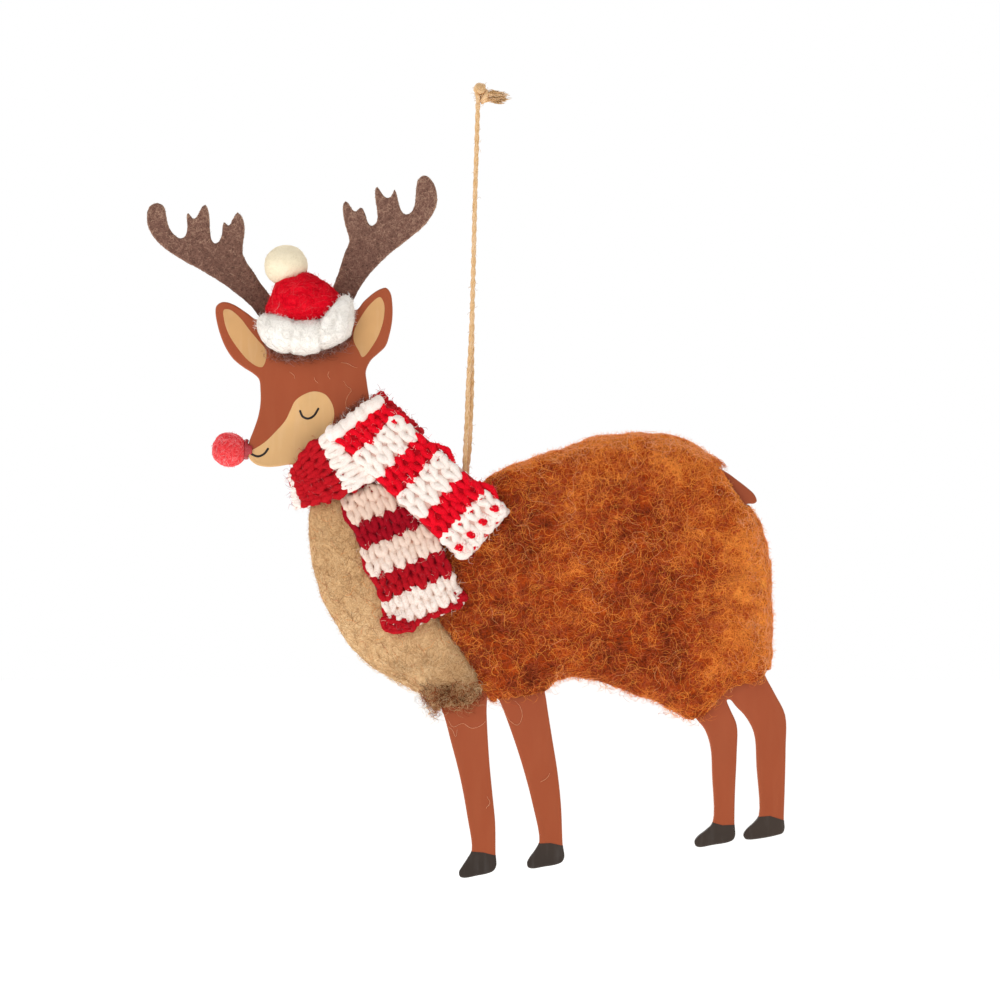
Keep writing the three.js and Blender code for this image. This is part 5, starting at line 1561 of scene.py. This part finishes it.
class Knitting:
    """Knits the parts of the scarf from its two yarns."""

    def __init__(self, scarf):
        self.row, self.radius = scarf.row / MM, scarf.yarn / MM / 2
        self.rng = np.random.default_rng(61)
        # The loop's and the lower tail's colours carry painted shade; ends are the colours that the lower tail's
        # painted shade clears to
        self.ends = {"R": scarf.loop_red_painted_shade, "W": scarf.white}
        self.tints = {
            "neck_loop": {"R": scarf.loop_red_painted_shade, "W": scarf.white},
            "lower_tail": {"R": scarf.lower_red_painted_shade, "W": scarf.lower_white_painted_shade},
            "upper_tail": {"R": scarf.red, "W": scarf.white},
        }

    def spun(self, lines, key, share=1.0):
        """Uneven twisted yarn along lines with as many points each."""
        radii = self.radius * YARN_SWELL[key] * (1 + 0.07 * self.rng.normal(size=lines.shape[:2])) * share
        return tubes(lines, radii, YARN_SIDES, ply=YARN_PLY)

    def rolled(self, strip):
        """The rolled top edge of a tail: its line and its tube."""
        line = even_line(edge_cord(strip, ROLL_PLACE, (0.02, 0.98, 4), 0.4, 0.5, self.rng), ROLL_POINTS)
        lumps = np.interp(np.arange(ROLL_POINTS), np.linspace(0, ROLL_POINTS - 1, 26), self.rng.normal(0, 0.1, 26))
        return line, tubes(line[None], ROLL_RADIUS * (1 + lumps[None]), 14)

    def rows(self, strip, stitches, stripes, places, pitch, lift, from_end):
        """The lines of the rows of stitches, by colour. lift raises the heads of the white loops into view."""
        count = len(places)
        before, after = stripes[1:count + 1], stripes[0] + stripes[:count - 1]
        if not from_end:
            before, after = after, before
        lines = {"R": [], "W": []}
        for place, key, ahead, behind in zip(places, stripes, before, after):
            head = lift if key + ahead == "WR" else 0.0
            tip = 0.6 if key != behind else 0.0
            reaches = pitch * 0.56, pitch * 0.74
            lines[key].append(
                stitch_row(strip, place, stitches, reaches, self.rng, head=head, tip=tip, slack=YARN_SLACK[key])
            )
        return lines

    def hairs(self, name, loops, count, finish, body, in_front):
        """Hairs that stand out of the yarn, or only out of its front."""
        spots = loops[self.rng.integers(0, len(loops), count)]
        away = unit(self.rng.normal(size=spots.shape))
        if in_front:
            away[:, 1] = -np.abs(away[:, 1])
        spots = spots + away * self.radius * 0.85
        paths = standing_fibres(spots, away, reach=1.7, steps=5, lean=1.6, curl=0.35, rng=self.rng)
        return fibre_pieces(name, paths, 0.038, self.rng.random(len(paths)), finish, body, "knit")

    def yarns(self, name, strip, lines, extra, body, in_front):
        """The yarn of a part in both colours, with its hairs."""
        tint = self.tints[name]
        # deep is the painted shade between the yarn's hairs; the white's is tinged pink, a painted reflection of the
        # red
        deep = {"R": shaded(tint["R"], 0.55), "W": tinged(tint["W"], (0.9, 0.8, 0.76))}
        pieces = []
        for key, rows in lines.items():
            title = f"{name}_{YARN_WORD[key]}_yarn"
            yarn = yarn_finish(title, tint[key], deep[key], self.ends[key])
            hair = fibre_finish(f"{title}_hairs", deep[key], tint[key], shaded(tint[key], 1.15))
            wound = [self.spun(np.stack(rows), key)]
            wound += [self.spun(line[None], key, 0.9) for line in extra[key]]
            hairy = rows + extra[key]
            if name == "upper_tail" and key == "W":
                roll, tube = self.rolled(strip)
                wound.append(tube)
                hairy += [roll] * 5
            points, faces, maps, _ = together(wound)
            loops, clear = np.concatenate(hairy), np.zeros(len(points))
            # The lower tail's painted shade clears from SHADE_END downwards
            if name == "lower_tail":
                clear = np.clip((SHADE_END - points[:, 2]) / SHADE_FADE, 0, MOST_CLEAR)
                loops = loops[np.linalg.norm(loops[:, None] - strip.grid[0], axis=2).min(axis=1) >= TUCKED_IN]
            pieces.append(placed(new_piece(title, yarn, points, faces, maps, tone=clear), body, "knit"))
            pieces += self.hairs(f"{title}_hairs", loops, HAIRS_A_ROW * len(rows), hair, body, in_front)
        return pieces

    def knit(
        self, name, strip, stitches, stripes, body, rests_on, pitch,
        first=0.45, lift=0.7, trimmings=no_trimmings, from_end=True,
    ):
        """One part of the scarf: its backing, its rows of stitches and its trimmings.

        pitch is the height of its rows and first is where the first one is, in rows.
        """
        inside = backing_finish(f"{name}_inside", self.tints[name]["R"], self.tints[name]["W"])
        count = round(strip.length / pitch - 0.3)
        steps = np.arange(count) + first
        places = strip.length - pitch * steps if from_end else steps * strip.length / count
        lines = self.rows(strip, stitches, stripes, places, pitch, lift, from_end)
        extra = trimmings(strip, stitches, pitch, self.rng)
        pieces = self.yarns(name, strip, lines, extra, body, in_front=from_end)
        points, faces, share = strip.backing(BACKING_THICKNESS)
        run = share * strip.length
        nearest = np.abs(run[:, None] - places[None]).argmin(axis=1)
        white = np.array([key == "W" for key in stripes[:count]], float)[nearest]
        if name == "upper_tail":
            white *= run < strip.length - RED_END
        cloth = new_piece(f"{name}_backing", inside, points, faces, tone=white)
        placed(cloth, body, "knit", f"scarf_{name}")


class ORNAMENT_OT_scarf(bpy.types.Operator):
    """Knits the scarf: its loop round the neck and its two tails"""
    bl_idname = "ornament.scarf"
    bl_label = "Scarf"

    def execute(self, context):
        knitting = Knitting(context.scene.ornament.scarf)
        row = knitting.row
        knitting.knit(
            "neck_loop", loop_strip(), 5, LOOP_STRIPES, "reindeer", ["neck"], row * 0.8,
            first=0.3, lift=0.9, from_end=False,
        )
        knitting.knit(
            "lower_tail", tail_strip("scarf_lower_tail", **LOWER_TAIL), 6, LOWER_STRIPES, "lower_tail",
            ["chest", "coat"], row * 0.97, first=0.7, lift=0.2, trimmings=lower_trimmings,
        )
        knitting.knit(
            "upper_tail", tail_strip("scarf_upper_tail", **UPPER_TAIL), 4, UPPER_STRIPES, "upper_tail",
            ["lower_tail_backing", "coat"], row, trimmings=upper_trimmings,
        )
        return {"FINISHED"}


class ORNAMENT_PT_panel(bpy.types.Panel):
    """Lists the steps that build the ornament and what they take"""
    bl_idname = "ORNAMENT_PT_panel"
    bl_label = "Reindeer ornament"
    bl_space_type = "VIEW_3D"
    bl_region_type = "UI"
    bl_category = "Ornament"

    def draw(self, context):
        ornament = context.scene.ornament
        for step in STEPS:
            self.layout.operator(step.bl_idname)
        for part in ("stage", "board", "wool", "felt", "scarf", "twine"):
            box = self.layout.box()
            box.label(text=part.capitalize())
            group = getattr(ornament, part)
            for name in group.__annotations__:
                box.prop(group, name)


STEPS = (
    ORNAMENT_OT_stage, ORNAMENT_OT_twine, ORNAMENT_OT_board, ORNAMENT_OT_coat,
    ORNAMENT_OT_antlers, ORNAMENT_OT_hat, ORNAMENT_OT_nose, ORNAMENT_OT_scarf,
)
CLASSES = (
    StageSettings, BoardSettings, WoolSettings, FeltSettings, ScarfSettings, TwineSettings, OrnamentSettings,
    *STEPS, ORNAMENT_PT_panel,
)


def register():
    for made in CLASSES:
        bpy.utils.register_class(made)
    bpy.types.Scene.ornament = PointerProperty(type=OrnamentSettings)


def unregister():
    del bpy.types.Scene.ornament
    for made in reversed(CLASSES):
        bpy.utils.unregister_class(made)


def main():
    register()
    bpy.ops.ornament.stage()
    bpy.ops.ornament.twine()
    bpy.ops.ornament.board()
    bpy.ops.ornament.coat()
    bpy.ops.ornament.antlers()
    bpy.ops.ornament.hat()
    bpy.ops.ornament.nose()
    bpy.ops.ornament.scarf()


if __name__ == "__main__":
    main()
